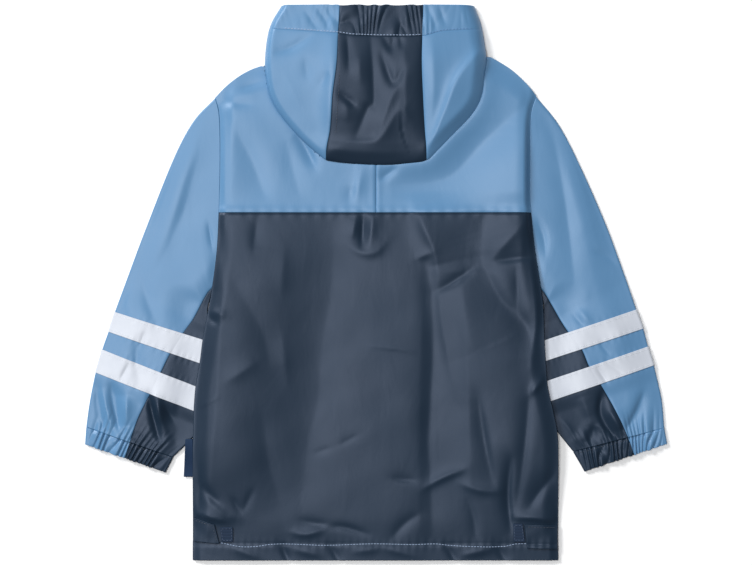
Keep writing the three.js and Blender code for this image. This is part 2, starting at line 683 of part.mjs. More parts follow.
// underside of the hood: on the yoke, and past the neckline down at the surface
function hoodFloor(x, y) {
  const neckline = backTopLine[x < 0 ? 'left' : 'right'](Math.min(117, Math.abs(x)));
  return mix(hood.yokeTop, hood.tableTop, smooth(neckline + 1.5, neckline + 13, y));
}

const quarterRound = (inset, radius) => Math.sqrt(1 - (1 - clamp(inset / radius)) ** 2);

function hoodTopHeight(x, y) {
  const inset = hoodInset(x, y);
  const floor = hoodFloor(x, y);
  const peak = hood.yokeTop + hood.dome * (1 - 0.3 * smooth(225, 285, y)) + hood.crown * smooth(10, 50, inset);
  return mix(floor, peak, quarterRound(inset, hood.roll));
}

const crowded = (cells) => spaced(0, 1, cells).map((share) => share ** 1.8);

// side panels: from the rolled silhouette in to the centre panel
for (const side of sides) {
  const sign = signOf[side];
  const seamX = (y) => hoodCentre[side](y) + seamGap / 2;
  const topSeamIn = casingSeam(sign * 45) - seamGap / 2;
  const topSeamOut = casingSeam(sign * 112) - seamGap / 2;
  const grid = gridOf(spaced(0, 1, 14), crowded(9), (down, inwards) => {
    const innerY = mix(topSeamIn, 133.5, down);
    const outerY = mix(topSeamOut, 135.5, down);
    const x = mix(hoodSide[side](outerY), seamX(innerY), inwards);
    const bend = casingSeam(sign * x) - seamGap / 2 - mix(topSeamOut, topSeamIn, inwards);
    const y = mix(outerY, innerY, inwards) + bend * (1 - down) ** 2;
    return new THREE.Vector3(sign * x, y, hoodTopHeight(sign * x, y));
  });
  add(`hood_side_${side}`, wallBetween(grid, movedOut(grid, -cloth, { rows: 'first', columns: 'last' })), blueCloth);
}

// centre panel: from the casing down over the rolled bottom
{
  const grid = gridOf(crowded(12), spaced(0, 1, 11), (up, across) => {
    const topY = casingSeam(mix(-40, 48, across)) - seamGap / 2;
    const guessY = mix(hoodBottom(mix(-50, 50, across)), topY, up);
    const half = { left: hoodCentre.left(guessY) - seamGap / 2, right: hoodCentre.right(guessY) - seamGap / 2 };
    const x = mix(-half.left, half.right, across);
    const y = mix(hoodBottom(x), topY, up);
    return new THREE.Vector3(x, y, hoodTopHeight(x, y));
  });
  add('hood_centre', wallBetween(grid, movedOut(grid, -cloth, { rows: 'last', columns: 'both' })), navyCloth);
}

// casing along the face edge: three pieces gathered on one elastic
const casing = { depth: 1.1, pitch: 9.6, drop: 0.6 };

function casingHeight(x, y) {
  const seamY = casingSeam(x);
  const down = clamp((hood.top - y) / (hood.top - seamY));
  const inCentre = 1 - smooth(36, 78, Math.abs(x - 4));
  const gather = casing.depth * (0.25 + 0.75 * Math.sin(Math.PI * mix(0.12, 0.88, down))) * inCentre;
  return hoodTopHeight(x, y) - casing.drop + gather * Math.cos((2 * Math.PI * x) / casing.pitch);
}

function casingPiece(name, columns, squareColumns, xAt, material) {
  const grid = gridOf(spaced(0, 1, 3), columns, (down, across) => {
    const guessX = xAt(across, hood.top - 28);
    const y = mix(hood.top, casingSeam(guessX) + seamGap / 2, down);
    const x = xAt(across, y);
    return new THREE.Vector3(x, y, casingHeight(x, y));
  });
  add(name, wallBetween(grid, movedOut(grid, -elasticCloth, { rows: 'both', columns: squareColumns })), material);
}
casingPiece('hood_casing_centre', spaced(0, 1, 32), 'both', (across, y) => (
  mix(-hoodCentre.left(y) + seamGap / 2, hoodCentre.right(y) - seamGap / 2, across)), navyCloth);
for (const side of sides) {
  casingPiece(`hood_casing_${side}`, crowded(15), 'last', (inwards, y) => (
    signOf[side] * mix(hoodSide[side](y), hoodCentre[side](y) + seamGap / 2, inwards)), blueCloth);
}

// the folded layers inside, one rounded solid under the skin
{
  const clear = cloth + 2 * layerGap;
  const topRound = hood.roll - clear;
  const coreTop = (x, y) => {
    const inset = hoodInset(x, y) - clear;
    const skin = hoodTopHeight(x, y);
    const floor = hoodFloor(x, y);
    const underCasing = 2 * smooth(246, 256, y);
    const lid = mix(floor + 1.2, skin - clear - underCasing, quarterRound(inset, topRound));
    return Math.max(floor + 1.2, Math.min(lid, skin - clear));
  };
  const edgeAt = (side, y) => hoodSide[side](y) - clear * 1.35;
  const rows = [...spaced(0, 0.1, 3), ...spaced(0.2, 0.5, 3), 0.56, 0.6, 0.64, 0.68, ...spaced(0.76, 1, 3)];
  const columns = spaced(-1, 1, 12).map((share) => Math.sign(share) * (1 - (1 - Math.abs(share)) ** 1.5));
  const grid = gridOf(rows, columns, (up, across) => {
    const side = across < 0 ? 'left' : 'right';
    const share = Math.abs(across);
    const bottomX = 48 * across;
    const bottomY = hoodBottom(bottomX) + clear * 1.2;
    const y = mix(bottomY, hood.top - 0.4, up);
    const reach = Math.min(edgeAt(side, y), 52 + (y - bottomY) * 0.9);
    const x = signOf[side] * share * reach;
    return new THREE.Vector3(x, y, coreTop(x, y));
  });
  const floor = grid.map((row) => row.map((p) => new THREE.Vector3(p.x, p.y, hoodFloor(p.x, p.y) + 0.05)));
  add('hood_core', wallBetween(grid, floor), blueCloth);
}

// front parts of the hood, flat on the surface between the front neckline and the face edge
for (const side of sides) {
  const sign = signOf[side];
  const centreX = seamGap / 2;
  const reach = neckXs.at(-1);
  const columns = [0, ...neckXs.map((x) => (x - centreX) / (reach - centreX))];
  const flat = (x, y) => new THREE.Vector3(x, y, cloth);
  const neck = (x) => frontTopLine[side](x) + 0.8;
  const topY = hood.top - 3;
  const edgeX = (y) => hoodSide[side](y) - 4;
  const bottom = (u) => flat(mix(centreX, reach, u), neck(mix(centreX, reach, u)));
  const top = (u) => flat(mix(centreX, edgeX(topY), u), topY);
  const start = (v) => flat(centreX, mix(neck(centreX), topY, v));
  const end = (v) => {
    const y = mix(neck(reach), topY, v);
    return flat(mix(reach, edgeX(y), smooth(0, 0.25, v)), y);
  };
  const grid = gridOf(spaced(0, 1, 5), columns, (v, u) => {
    const point = patch(bottom, top, start, end, u, v);
    point.x *= sign;
    return point;
  });
  add(`hood_front_${side}`, wallBetween(grid, shifted(grid, -cloth)), blueCloth);
}

// Trims of the hem and the side: small pieces that lie on the back panel, made from its points
function heightOnBack(x, y) {
  for (let row = 0; row < backGrid.length - 1; row++) {
    const [high, low] = [backGrid[row][0].y, backGrid[row + 1][0].y];
    if (y > high || y < low) continue;
    const down = (high - y) / (high - low);
    const across = backGrid[row].map((p, i) => mix(p.x, backGrid[row + 1][i].x, down));
    const column = Math.max(0, Math.min(across.length - 2, across.findIndex((next) => next > x) - 1));
    const share = clamp((x - across[column]) / (across[column + 1] - across[column]));
    const above = mix(backGrid[row][column].z, backGrid[row][column + 1].z, share);
    const below = mix(backGrid[row + 1][column].z, backGrid[row + 1][column + 1].z, share);
    return mix(above, below, down);
  }
  return 0;
}

// piece laid on the back between four corners, given clockwise from its upper left
function laidPiece(name, corners, cells, thickness, material) {
  const [upperLeft, upperRight, lowerRight, lowerLeft] = corners.map(([x, y]) => new THREE.Vector2(x, y));
  const grid = gridOf(spaced(0, 1, cells.down), spaced(0, 1, cells.across), (down, across) => {
    const spot = upperLeft.clone().lerp(upperRight, across).lerp(lowerLeft.clone().lerp(lowerRight, across), down);
    return new THREE.Vector3(spot.x, spot.y, heightOnBack(spot.x, spot.y) + layerGap);
  });
  add(name, wallBetween(shifted(grid, thickness), grid), material);
}
laidPiece('hem_strap_left', [[-191.6, -247], [-169.5, -254], [-164.6, -274], [-190.8, -271.4]],
  { across: 5, down: 5 }, 1.5, navyCloth);
laidPiece('hem_strap_right', [[156, -254], [190.6, -255.2], [190.2, -279.6], [159, -279]],
  { across: 6, down: 5 }, 1.5, navyCloth);
laidPiece('hem_patch_left', [[-163.6, -257.2], [-150.4, -256.6], [-150.2, -271.6], [-161.4, -272]],
  { across: 3, down: 4 }, 1.2, navyTape);
laidPiece('hem_patch_right', [[144.2, -253], [153.6, -253.2], [156.2, -272], [144.8, -272.2]],
  { across: 3, down: 4 }, 1.2, navyTape);

// bare tag, caught in the left side seam
{
  const tag = { from: 192.9, reach: 9, top: -164.5, bottom: -204, thickness: 1.2 };
  const grid = gridOf(spaced(tag.top, tag.bottom, 6), [0, 0.5, 1], (y, across) => {
    const spread = mix(tag.reach - 2.5, tag.reach, (tag.top - y) / (tag.top - tag.bottom));
    const lift = frontLift(-192, y);
    return new THREE.Vector3(-(tag.from + spread * across), y, lift + 1.9);
  });
  add('side_tag', wallBetween(grid, shifted(grid, -tag.thickness)), navyTape);
}

export default coat;
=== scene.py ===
import math

import bpy
import numpy as np
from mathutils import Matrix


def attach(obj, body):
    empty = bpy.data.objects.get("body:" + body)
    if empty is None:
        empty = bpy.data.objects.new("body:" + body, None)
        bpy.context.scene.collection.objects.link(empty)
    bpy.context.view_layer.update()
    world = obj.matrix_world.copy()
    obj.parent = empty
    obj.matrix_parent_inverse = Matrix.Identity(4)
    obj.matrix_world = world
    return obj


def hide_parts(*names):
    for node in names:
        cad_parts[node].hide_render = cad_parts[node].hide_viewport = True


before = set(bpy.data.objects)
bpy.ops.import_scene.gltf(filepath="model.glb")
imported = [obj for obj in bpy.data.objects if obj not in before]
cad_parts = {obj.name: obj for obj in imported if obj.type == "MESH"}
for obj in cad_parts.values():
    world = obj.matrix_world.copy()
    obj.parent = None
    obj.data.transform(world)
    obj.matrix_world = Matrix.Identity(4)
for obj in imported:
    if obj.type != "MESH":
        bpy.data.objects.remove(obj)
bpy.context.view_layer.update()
scene = bpy.context.scene
mm = 0.001  # sizes below are millimetres, meshes are metres
print("frame loaded:", len(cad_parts), "nodes")

# Camera: straight above, as the photograph was taken
cameraSettings = {"lens": 100.0, "sensor": 36.0, "seenWidth": 789.6, "aimHeight": 4.0}
cameraData = bpy.data.cameras.new("camera")
cameraData.lens = cameraSettings["lens"]
cameraData.sensor_width = cameraSettings["sensor"]
cameraData.clip_end = 20.0
cameraObject = bpy.data.objects.new("camera", cameraData)
scene.collection.objects.link(cameraObject)
cameraDistance = cameraSettings["seenWidth"] / cameraSettings["sensor"] * cameraSettings["lens"]
cameraObject.location = (0, 0, (cameraSettings["aimHeight"] + cameraDistance) * mm)
scene.camera = cameraObject

# Light: a low softbox from the upper left for the form, a larger high one for the gloss, and a pale room
lightSettings = {
    "key": {"place": (-3.0, 2.7, 2.5), "size": 1.6, "power": 205.0},
    "high": {"place": (-1.15, 0.25, 5.2), "size": 2.6, "power": 155.0},
    "room": {"colour": "#f4f6fa", "strength": 0.22},
}


def linear(hexColour):
    # sRGB hex to the linear colour that shaders take
    channels = [int(hexColour[i:i + 2], 16) / 255 for i in (1, 3, 5)]
    return (*[c / 12.92 if c <= 0.04045 else ((c + 0.055) / 1.055) ** 2.4 for c in channels], 1.0)


for lightName in ("key", "high"):
    settings = lightSettings[lightName]
    lamp = bpy.data.lights.new(lightName, "AREA")
    lamp.shape = "DISK"
    lamp.size = settings["size"]
    lamp.energy = settings["power"]
    lampObject = bpy.data.objects.new(lightName, lamp)
    scene.collection.objects.link(lampObject)
    lampObject.location = settings["place"]
    aim = -np.array(settings["place"])
    lampObject.rotation_euler = (
        math.atan2(math.hypot(aim[0], aim[1]), -aim[2]), 0, math.atan2(aim[1], aim[0]) - math.pi / 2)
    lampObject.visible_camera = False
world = bpy.data.worlds.new("room")
world.use_nodes = True
background = world.node_tree.nodes["Background"].inputs
background["Color"].default_value = linear(lightSettings["room"]["colour"])
background["Strength"].default_value = lightSettings["room"]["strength"]
scene.world = world
scene.view_settings.view_transform = "Standard"
print("camera and light ready")


# Materials
def addNode(tree, kind, settings=None, inputs=None):
    # one node, with its settings and with its inputs set or linked
    node = tree.nodes.new(kind)
    for key, value in (settings or {}).items():
        setattr(node, key, value)
    for socket, value in (inputs or {}).items():
        if isinstance(value, bpy.types.NodeSocket):
            tree.links.new(value, node.inputs[socket])
        else:
            node.inputs[socket].default_value = value
    return node


def newMaterial(name):
    # a material with an empty tree of nodes
    material = bpy.data.materials.new(name)
    material.use_nodes = True
    tree = material.node_tree
    tree.nodes.clear()
    return material, tree


def finishMaterial(tree, shaderInputs):
    # the shader and the output that every material ends with
    shader = addNode(tree, "ShaderNodeBsdfPrincipled", inputs=shaderInputs)
    addNode(tree, "ShaderNodeOutputMaterial", inputs={"Surface": shader.outputs["BSDF"]})


def addNoise(tree, place, size, detail, **inputs):
    # noise whose grains are about that many millimetres
    return addNode(tree, "ShaderNodeTexNoise", None, {
        "Vector": place, "Scale": 1 / (size * mm), "Detail": detail, **inputs}).outputs["Fac"]


def addTone(tree, share, dark, pale):
    # colour that goes from dark to pale with the share
    return addNode(tree, "ShaderNodeMix", {"data_type": "RGBA"}, {
        "Factor": share, "A": linear(dark), "B": linear(pale)}).outputs[2]


def addBump(tree, height, strength, depth, **inputs):
    # normal bumped by the height, that many millimetres deep
    return addNode(tree, "ShaderNodeBump", None, {
        "Height": height, "Strength": strength, "Distance": depth * mm, **inputs}).outputs["Normal"]


# real grain is about 0.3 mm, drawn at 0.9 mm so that it shows in the render
filmSettings = {"grainSize": 0.9, "grainDepth": 0.12, "flexDepth": 0.9, "flexStretch": 0.45,
                "glossSpread": 0.035}


def coatedPolyester(name, look):
    # Woven polyester under a soft polyurethane film: an even satin gloss, broken by a fine grain,
    # by shallow flexing marks a few centimetres long, and by slightly paler rubbed places.
    material, tree = newMaterial(name)
    place = addNode(tree, "ShaderNodeTexCoord").outputs["Object"]
    broad = addNoise(tree, place, look["patchSize"], 3.0, Roughness=0.55)
    grain = addNoise(tree, place, filmSettings["grainSize"], 2.0, Roughness=0.6)
    stretch = addNode(tree, "ShaderNodeMapping", None, {
        "Vector": place, "Rotation": (0, 0, look["flexTurn"]),
        "Scale": (1.0, filmSettings["flexStretch"], 1.0)})
    flex = addNoise(tree, stretch.outputs["Vector"], look["flexSize"], 4.0, Roughness=0.5, Distortion=0.6)
    gloss = addNode(tree, "ShaderNodeMapRange", None, {
        "Value": broad, "From Min": 0.3, "From Max": 0.7,
        "To Min": look["roughness"] - filmSettings["glossSpread"],
        "To Max": look["roughness"] + filmSettings["glossSpread"]})
    flexBump = addBump(tree, flex, look["flexStrength"], filmSettings["flexDepth"])
    finishMaterial(tree, {
        "Base Color": addTone(tree, broad, look["deep"], look["pale"]), "Roughness": gloss.outputs["Result"],
        "IOR": look["ior"], "Specular Tint": linear(look["glossTint"]),
        "Normal": addBump(tree, grain, look["grainStrength"], filmSettings["grainDepth"], Normal=flexBump)})
    return material


def glassBeadTape(name):
    # Reflective tape: a pale silver-white film of tiny glass beads, pebbled and faintly cloudy.
    material, tree = newMaterial(name)
    place = addNode(tree, "ShaderNodeTexCoord").outputs["Object"]
    # beads are under 0.1 mm, drawn at 0.7 mm so that they show
    beads = addNode(tree, "ShaderNodeTexVoronoi", {"feature": "F1"}, {
        "Vector": place, "Scale": 1 / (0.7 * mm)})
    cloud = addNoise(tree, place, 22, 3.0)
    finishMaterial(tree, {
        "Base Color": addTone(tree, cloud, "#b5bbc6", "#cacfd8"), "Roughness": 0.45, "Metallic": 0.05,
        "IOR": 1.5, "Sheen Weight": 0.15, "Normal": addBump(tree, beads.outputs["Distance"], 0.25, 0.08)})
    return material


def wovenTape(name, dark, pale, pitch, roughness):
    # Narrow woven tape: ribs of thread across it, matt, with a slight change of tone from rib to rib.
    material, tree = newMaterial(name)
    place = addNode(tree, "ShaderNodeTexCoord").outputs["Object"]
    ribs = addNode(tree, "ShaderNodeTexWave", {"bands_direction": "Y", "wave_profile": "SIN"}, {
        "Vector": place, "Scale": 2 * math.pi / 20 / (pitch * mm), "Distortion": 0.4, "Detail": 1.0})
    height = addNode(tree, "ShaderNodeMath", {"operation": "ADD"}, {
        0: ribs.outputs["Fac"], 1: addNoise(tree, place, 0.5, 2.0)})
    finishMaterial(tree, {
        "Base Color": addTone(tree, ribs.outputs["Fac"], dark, pale), "Roughness": roughness,
        "Specular Tint": linear("#b8c8e4"), "Normal": addBump(tree, height.outputs[0], 0.5, 0.15)})
    return material


def nickelPlate(name):
    # Nickel-plated brass stud: bright, with the fine marks of stamping and a little tarnish.
    material, tree = newMaterial(name)
    place = addNode(tree, "ShaderNodeTexCoord").outputs["Object"]
    marks = addNoise(tree, place, 0.8, 4.0)
    gloss = addNode(tree, "ShaderNodeMapRange", None, {"Value": marks, "To Min": 0.22, "To Max": 0.38})
    finishMaterial(tree, {
        "Base Color": addTone(tree, marks, "#9a9890", "#c6c6c2"), "Metallic": 1.0,
        "Roughness": gloss.outputs["Result"], "Normal": addBump(tree, marks, 0.2, 0.03)})
    return material


def polyesterThread(name, dark, pale):
    # Twisted polyester sewing thread: a soft shine, with the ply showing as a slight change of tone.
    material, tree = newMaterial(name)
    place = addNode(tree, "ShaderNodeTexCoord").outputs["Object"]
    tone = addTone(tree, addNoise(tree, place, 1.5, 1.0), dark, pale)
    finishMaterial(tree, {"Base Color": tone, "Roughness": 0.5, "Sheen Weight": 0.2})
    return material


blueCloth = coatedPolyester("coatedPolyesterSkyBlue", {
    "deep": "#507ca3", "pale": "#5984ab", "glossTint": "#e4ecf8", "roughness": 0.40, "ior": 1.5,
    "patchSize": 90, "flexSize": 26, "flexTurn": 0.5, "flexStrength": 0.30, "grainStrength": 0.30})
navyCloth = coatedPolyester("coatedPolyesterNavy", {
    "deep": "#142332", "pale": "#192939", "glossTint": "#b4c0d8", "roughness": 0.41, "ior": 1.52,
    "patchSize": 80, "flexSize": 24, "flexTurn": -0.35, "flexStrength": 0.26, "grainStrength": 0.25})
tapeMaterial = glassBeadTape("reflectiveGlassBeadTape")
gripTape = wovenTape("hookAndLoopTape", "#172233", "#27364b", 1.6, 0.85)
tagTape = wovenTape("wovenTagSatin", "#12233b", "#1e3553", 0.8, 0.7)
studNickel = nickelPlate("nickelPlatedBrass")
paleThread = polyesterThread("threadPaleBlue", "#859dc0", "#a9bbd4")
blueThread = polyesterThread("threadSkyBlue", "#4f7fb0", "#6592c0")
navyThread = polyesterThread("threadNavy", "#1a2434", "#2b374a")
dullThread = polyesterThread("threadGreyBlue", "#3c4c66", "#4f607c")
whiteThread = polyesterThread("threadWhite", "#c9ced6", "#e0e3e8")
# each cloth with the slot of its finish
blue, navy = (blueCloth, "blue_coated_cloth"), (navyCloth, "navy_coated_cloth")
reflective, grip, woven = (tapeMaterial, "reflective_tape"), (gripTape, "loop_tape"), (tagTape, "woven_tag")
print("materials ready")


# Numbers and curves
def mix(first, second, share):
    # straight blend from the first to the second
    return first + (second - first) * share


def smooth(low, high, value):
    # eased step from 0 at low to 1 at high
    share = np.clip((value - low) / (high - low), 0, 1)
    return share * share * (3 - 2 * share)


def softMax(first, second, blend):
    # the larger of the two, rounded where they are nearly equal
    return 0.5 * (first + second + np.sqrt((first - second) ** 2 + blend * blend))


def cubicCurve(rows, column):
    # curve through one column of a table by its first: cubic pieces, each slope taken between the neighbours
    table = np.array(sorted(rows), float)
    keys, values = table[:, 0], table[:, column]
    before = np.maximum(np.arange(len(keys)) - 1, 0)
    after = np.minimum(np.arange(len(keys)) + 1, len(keys) - 1)
    slopes = (values[after] - values[before]) / (keys[after] - keys[before])

    def at(key):
        key = np.clip(np.asarray(key, float), keys[0], keys[-1])
        i = np.clip(np.searchsorted(keys, key, side="right") - 1, 0, len(keys) - 2)
        span = keys[i + 1] - keys[i]
        t = (key - keys[i]) / span
        start = 2 * t ** 3 - 3 * t ** 2 + 1
        bend = slopes[i] * (t ** 3 - 2 * t ** 2 + t) + slopes[i + 1] * (t ** 3 - t ** 2)
        return values[i] * start + values[i + 1] * (1 - start) + span * bend
    return at


def leftAndRight(rows):
    # one curve for each side: the left one from the table's second column, the right one from its third
    return {-1: cubicCurve(rows, 1), 1: cubicCurve(rows, 2)}


def bySide(curves, x, key):
    # the left curve's value where x is on the left, and else the right one's
    return np.where(x < 0, curves[-1](key), curves[1](key))


def stations(length, step):
    # shares of a length, evenly spaced, with two close rows at each end so that an edge can roll over
    inner = np.linspace(0, length, max(3, int(round(length / step)) + 1))[1:-1]
    close = np.array([0, 0.4, 1.0])
    margin = 1.4
    inner = inner[(inner > margin) & (inner < length - margin)]
    return np.concatenate([close, inner, length - close[::-1]]) / length


def smoothLine(points):
    # the points of a fold's line, with a rounded path between them where there are more than two
    points = np.array(points, float)
    if len(points) < 3:
        return points
    padded = np.vstack([2 * points[0] - points[1], points, 2 * points[-1] - points[-2]])
    t = np.linspace(0, 1, 5)[:-1, None]
    spans = [0.5 * (2 * b + (c - a) * t + (2 * a - 5 * b + 4 * c - d) * t ** 2
                    + (3 * b - a - 3 * c + d) * t ** 3)
             for a, b, c, d in zip(padded, padded[1:], padded[2:], padded[3:])]
    return np.vstack([*spans, points[-1:]])


# a fold's reach in widths, the powers of its bell and of its half wave, and the share of the wave left out
# at each end
foldShape = {"reach": 2.6, "crest": 1.35, "fullness": 0.8, "ends": 0.07}


def foldRelief(folds, x, y):
    # Sum of soft folds. Across its line a fold falls off as a bell with a fairly sharp crest, with one
    # width on the right-hand side of its run and one on the left. Along it the height is a half wave.
    relief = np.zeros(x.shape)
    for height, rightWidth, leftWidth, points in folds:
        line = smoothLine(points)
        reach = foldShape["reach"] * max(rightWidth, leftWidth)
        low, high = line.min(0) - reach, line.max(0) + reach
        near = (x > low[0]) & (x < high[0]) & (y > low[1]) & (y < high[1])
        if not near.any():
            continue
        px, py = x[near], y[near]
        steps = np.diff(line, axis=0)
        lengths = np.hypot(steps[:, 0], steps[:, 1])
        passed = np.concatenate([[0], np.cumsum(lengths)])
        away = np.full(px.shape, np.inf)
        turn = np.zeros(px.shape)
        along = np.zeros(px.shape)
        for i, (step, length) in enumerate(zip(steps, lengths)):
            dx, dy = px - line[i, 0], py - line[i, 1]
            share = np.clip((dx * step[0] + dy * step[1]) / length ** 2, 0, 1)
            dx, dy = dx - share * step[0], dy - share * step[1]
            far = np.hypot(dx, dy)
            closer = far < away
            away = np.where(closer, far, away)
            turn = np.where(closer, (step[0] * dy - step[1] * dx) / (length * far + 1e-9), turn)
            along = np.where(closer, (passed[i] + share * length) / passed[-1], along)
        width = mix(rightWidth, leftWidth, smooth(-1, 1, turn))
        halfWave = np.sin(np.pi * mix(foldShape["ends"], 1 - foldShape["ends"], along))
        bell = np.exp(-(away / width) ** foldShape["crest"])
        relief[near] += height * halfWave ** foldShape["fullness"] * bell
    return relief


def wander(x, y, size):
    # slow uneven waves of about that size, from a few crossing sines
    waves = [(0.9, 0.3, 0.0), (-0.4, 1.0, 1.3), (0.7, -0.8, 2.1), (1.5, 0.6, 4.0), (-0.9, 1.7, 5.2)]
    return sum(np.sin((a * x + b * y) * 2 * np.pi / size / 1.6 + c) for a, b, c in waves) / len(waves)


# Meshes
def addMesh(name, points, faces, material, smoothFaces=True):
    # a mesh object from points in millimetres and a list of faces
    mesh = bpy.data.meshes.new(name)
    mesh.from_pydata((points * mm).tolist(), [], faces)
    mesh.polygons.foreach_set("use_smooth", np.full(len(mesh.polygons), smoothFaces))
    mesh.materials.append(material)
    mesh.update()
    piece = bpy.data.objects.new(name, mesh)
    scene.collection.objects.link(piece)
    return piece


def gridFaces(index, isRing=False):
    # the quads between the rows and columns of a grid of point numbers
    if isRing:
        index = np.concatenate([index, index[:, :1]], axis=1)
    corners = [index[:-1, :-1], index[:-1, 1:], index[1:, 1:], index[1:, :-1]]
    return np.stack(corners, axis=-1).reshape(-1, 4)


def borderWalk(grid):
    # once round the border of a grid
    return np.concatenate([grid[0], grid[1:, -1], grid[-1, -2::-1], grid[-2:0:-1, 0]])


rimShare = 0.32  # how far a rim bulges, as a share of the wall


def wallShell(outer, inner, isRing=False):
    # closed wall between two grids of points, with a rounded rim along its open edges
    rows, columns = outer.shape[:2]
    index = np.arange(rows * columns).reshape(rows, columns)
    count = rows * columns
    points = [outer.reshape(-1, 3), inner.reshape(-1, 3)]
    faces = [gridFaces(index, isRing), gridFaces(index + count, isRing)[:, ::-1]]
    if isRing:
        ends = [(index[0], index[1]), (index[-1][::-1], index[-2][::-1])]
    else:
        innerRows = np.clip(np.arange(rows), 1, rows - 2)
        innerColumns = np.clip(np.arange(columns), 1, columns - 2)
        ends = [(borderWalk(index), borderWalk(index[innerRows[:, None], innerColumns]))]
    total = 2 * count
    for border, behind in ends:
        middle = (points[0][border] + points[1][border]) / 2
        out = middle - (points[0][behind] + points[1][behind]) / 2
        out /= np.linalg.norm(out, axis=1, keepdims=True) + 1e-9
        thick = np.linalg.norm(points[0][border] - points[1][border], axis=1, keepdims=True)
        points.append(middle + out * thick * rimShare)
        rim = total + np.arange(len(border))
        total += len(border)
        for first, second in ((border, rim), (rim, border + count)):
            faces.append(np.stack([first, second, np.roll(second, -1), np.roll(first, -1)], axis=1))
    points, faces = np.vstack(points), np.vstack(faces)
    a, b, c, d = (points[faces[:, i]] for i in range(4))
    volume = (a * np.cross(b, c)).sum() + (a * np.cross(c, d)).sum()
    return points, faces if volume > 0 else faces[:, ::-1]


def grow(x, y, heightAt):
    # the surface of a height over each place
    return np.stack([x, y, heightAt(x, y)], axis=-1)


def lowered(grid, distance):
    # the grid moved straight down, by one distance or by one for each point
    return grid - np.array([0, 0, 1.0]) * np.asarray(distance)[..., None]


def fallingWall(grid, thickness):
    # a wall whose inner face is straight under its outer one
    return [wallShell(grid, lowered(grid, thickness))]


def movedOut(grid, distance):
    # the grid moved along its own normals, upwards if positive
    along = np.gradient(grid, axis=0)
    across = np.gradient(grid, axis=1)
    normal = np.cross(along, across)
    normal /= np.linalg.norm(normal, axis=2, keepdims=True) + 1e-9
    normal *= np.where(normal[..., 2:] < 0, -1, 1)
    return grid + normal * distance


def foldedWall(grid, thickness):
    # a wall whose inner face is moved in along the outer one's normals
    return [wallShell(grid, movedOut(grid, -thickness))]


def clothPiece(name, shells, finish, node=None):
    # one cloth piece: its mesh in the cloth it was cut from, and the solid it stands for, which is hidden.
    # The solid has the piece's name in lower case with underscores, unless another one is given.
    points, faces, total = [], [], 0
    for shellPoints, shellFaces in shells:
        points.append(shellPoints)
        faces.append(shellFaces + total)
        total += len(shellPoints)
    piece = addMesh(name, np.vstack(points), np.vstack(faces).tolist(), finish[0])
    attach(piece, "root")
    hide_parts(node or "".join("_" + c.lower() if c.isupper() else c for c in name))


def stitchRow(name, runs, material, slot, pitch, stitchLength, radius):
    # sewing: each stitch is a short rounded bar that follows its run and thins at both ends
    rings = np.array([[-0.5, 0.25], [-0.42, 0.75], [-0.2, 1], [0.2, 1], [0.42, 0.75], [0.5, 0.25]])
    angles = np.arange(6) / 6 * 2 * np.pi
    bar = np.stack([np.repeat(rings[:, 0], 6), np.outer(rings[:, 1], np.cos(angles)).ravel(),
                    np.outer(rings[:, 1], np.sin(angles)).ravel()], axis=1)
    index = np.arange(len(bar)).reshape(6, 6)
    barFaces = gridFaces(index, True)
    caps = [index[0][::-1], index[-1]]
    points, faces, total = [], [], 0
    for run in runs:
        run = np.array(run, float)
        passed = np.concatenate([[0], np.cumsum(np.linalg.norm(np.diff(run, axis=0), axis=1))])
        count = max(1, int(passed[-1] / pitch))
        middle = (np.arange(count) + 0.5) * passed[-1] / count

        def at(distance):
            return np.stack([np.interp(distance, passed, run[:, k]) for k in range(3)], axis=1)

        centre = at(middle)
        ahead = at(middle + stitchLength / 2) - at(middle - stitchLength / 2)
        ahead /= np.linalg.norm(ahead, axis=1, keepdims=True) + 1e-9
        side = np.cross(ahead, [0, 0, 1.0])
        side /= np.linalg.norm(side, axis=1, keepdims=True) + 1e-9
        up = np.cross(side, ahead)
        made = (centre[:, None] + bar[None, :, :1] * stitchLength * ahead[:, None]
                + bar[None, :, 1:2] * radius * side[:, None] + bar[None, :, 2:] * radius * up[:, None])
        points.append(made.reshape(-1, 3))
        for k in range(count):
            faces.extend((barFaces + total + len(bar) * k).tolist())
            faces.extend([(cap + total + len(bar) * k).tolist() for cap in caps])
        total += len(bar) * count
    piece = addMesh(name, np.vstack(points), faces, material)
    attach(piece, "root")


# Outlines of the coat
sides = ((-1, "Left"), (1, "Right"))
coat = {"cloth": 1.0, "elasticCloth": 1.4, "seamGap": 0.3, "edgeInset": 0.2, "yokeSeamY": 73.5,
        "hemY": -291.5, "hemDepth": 21.0, "stitchY": -275.0, "underarmY": -8.0, "bodyGap": 3.2,
        "sideSeamGap": 0.5, "frontLap": 12.5}
halfGap = coat["seamGap"] / 2
sideEdge = leftAndRight([
    (195, 169.4, 168.3), (182, 165.6, 163.8), (165, 164.1, 162), (125, 163.8, 161.7), (88, 164.5, 161.8),
    (73.5, 165, 162.9), (34, 167, 166.8), (-8, 172.2, 173), (-24, 175, 175.2), (-60, 181.7, 176.6),
    (-84, 184.8, 178), (-108, 189, 179.8), (-134, 191.1, 185.5), (-157, 191.6, 190), (-175, 192.2, 191.1),
    (-291.5, 192.4, 191.3)])  # height, then left and right half width
shoulderTip = {-1: (169.2, 193.9), 1: (168.2, 195.4)}
shoulderRows = [(118, 226.8, 236.4), (128, 224.6, 232), (143, 216.8, 222.4), (158, 205.3, 208.4),
                (169, 194, 195.2)]
backTopLine = leftAndRight([(0, 213, 213), (60, 217, 218), (105, 226, 233), *shoulderRows])
frontTopLine = leftAndRight([(0, 178, 178), (14, 178, 178), (40, 182, 183), (75, 195, 198), (100, 212, 217),
                             *shoulderRows])
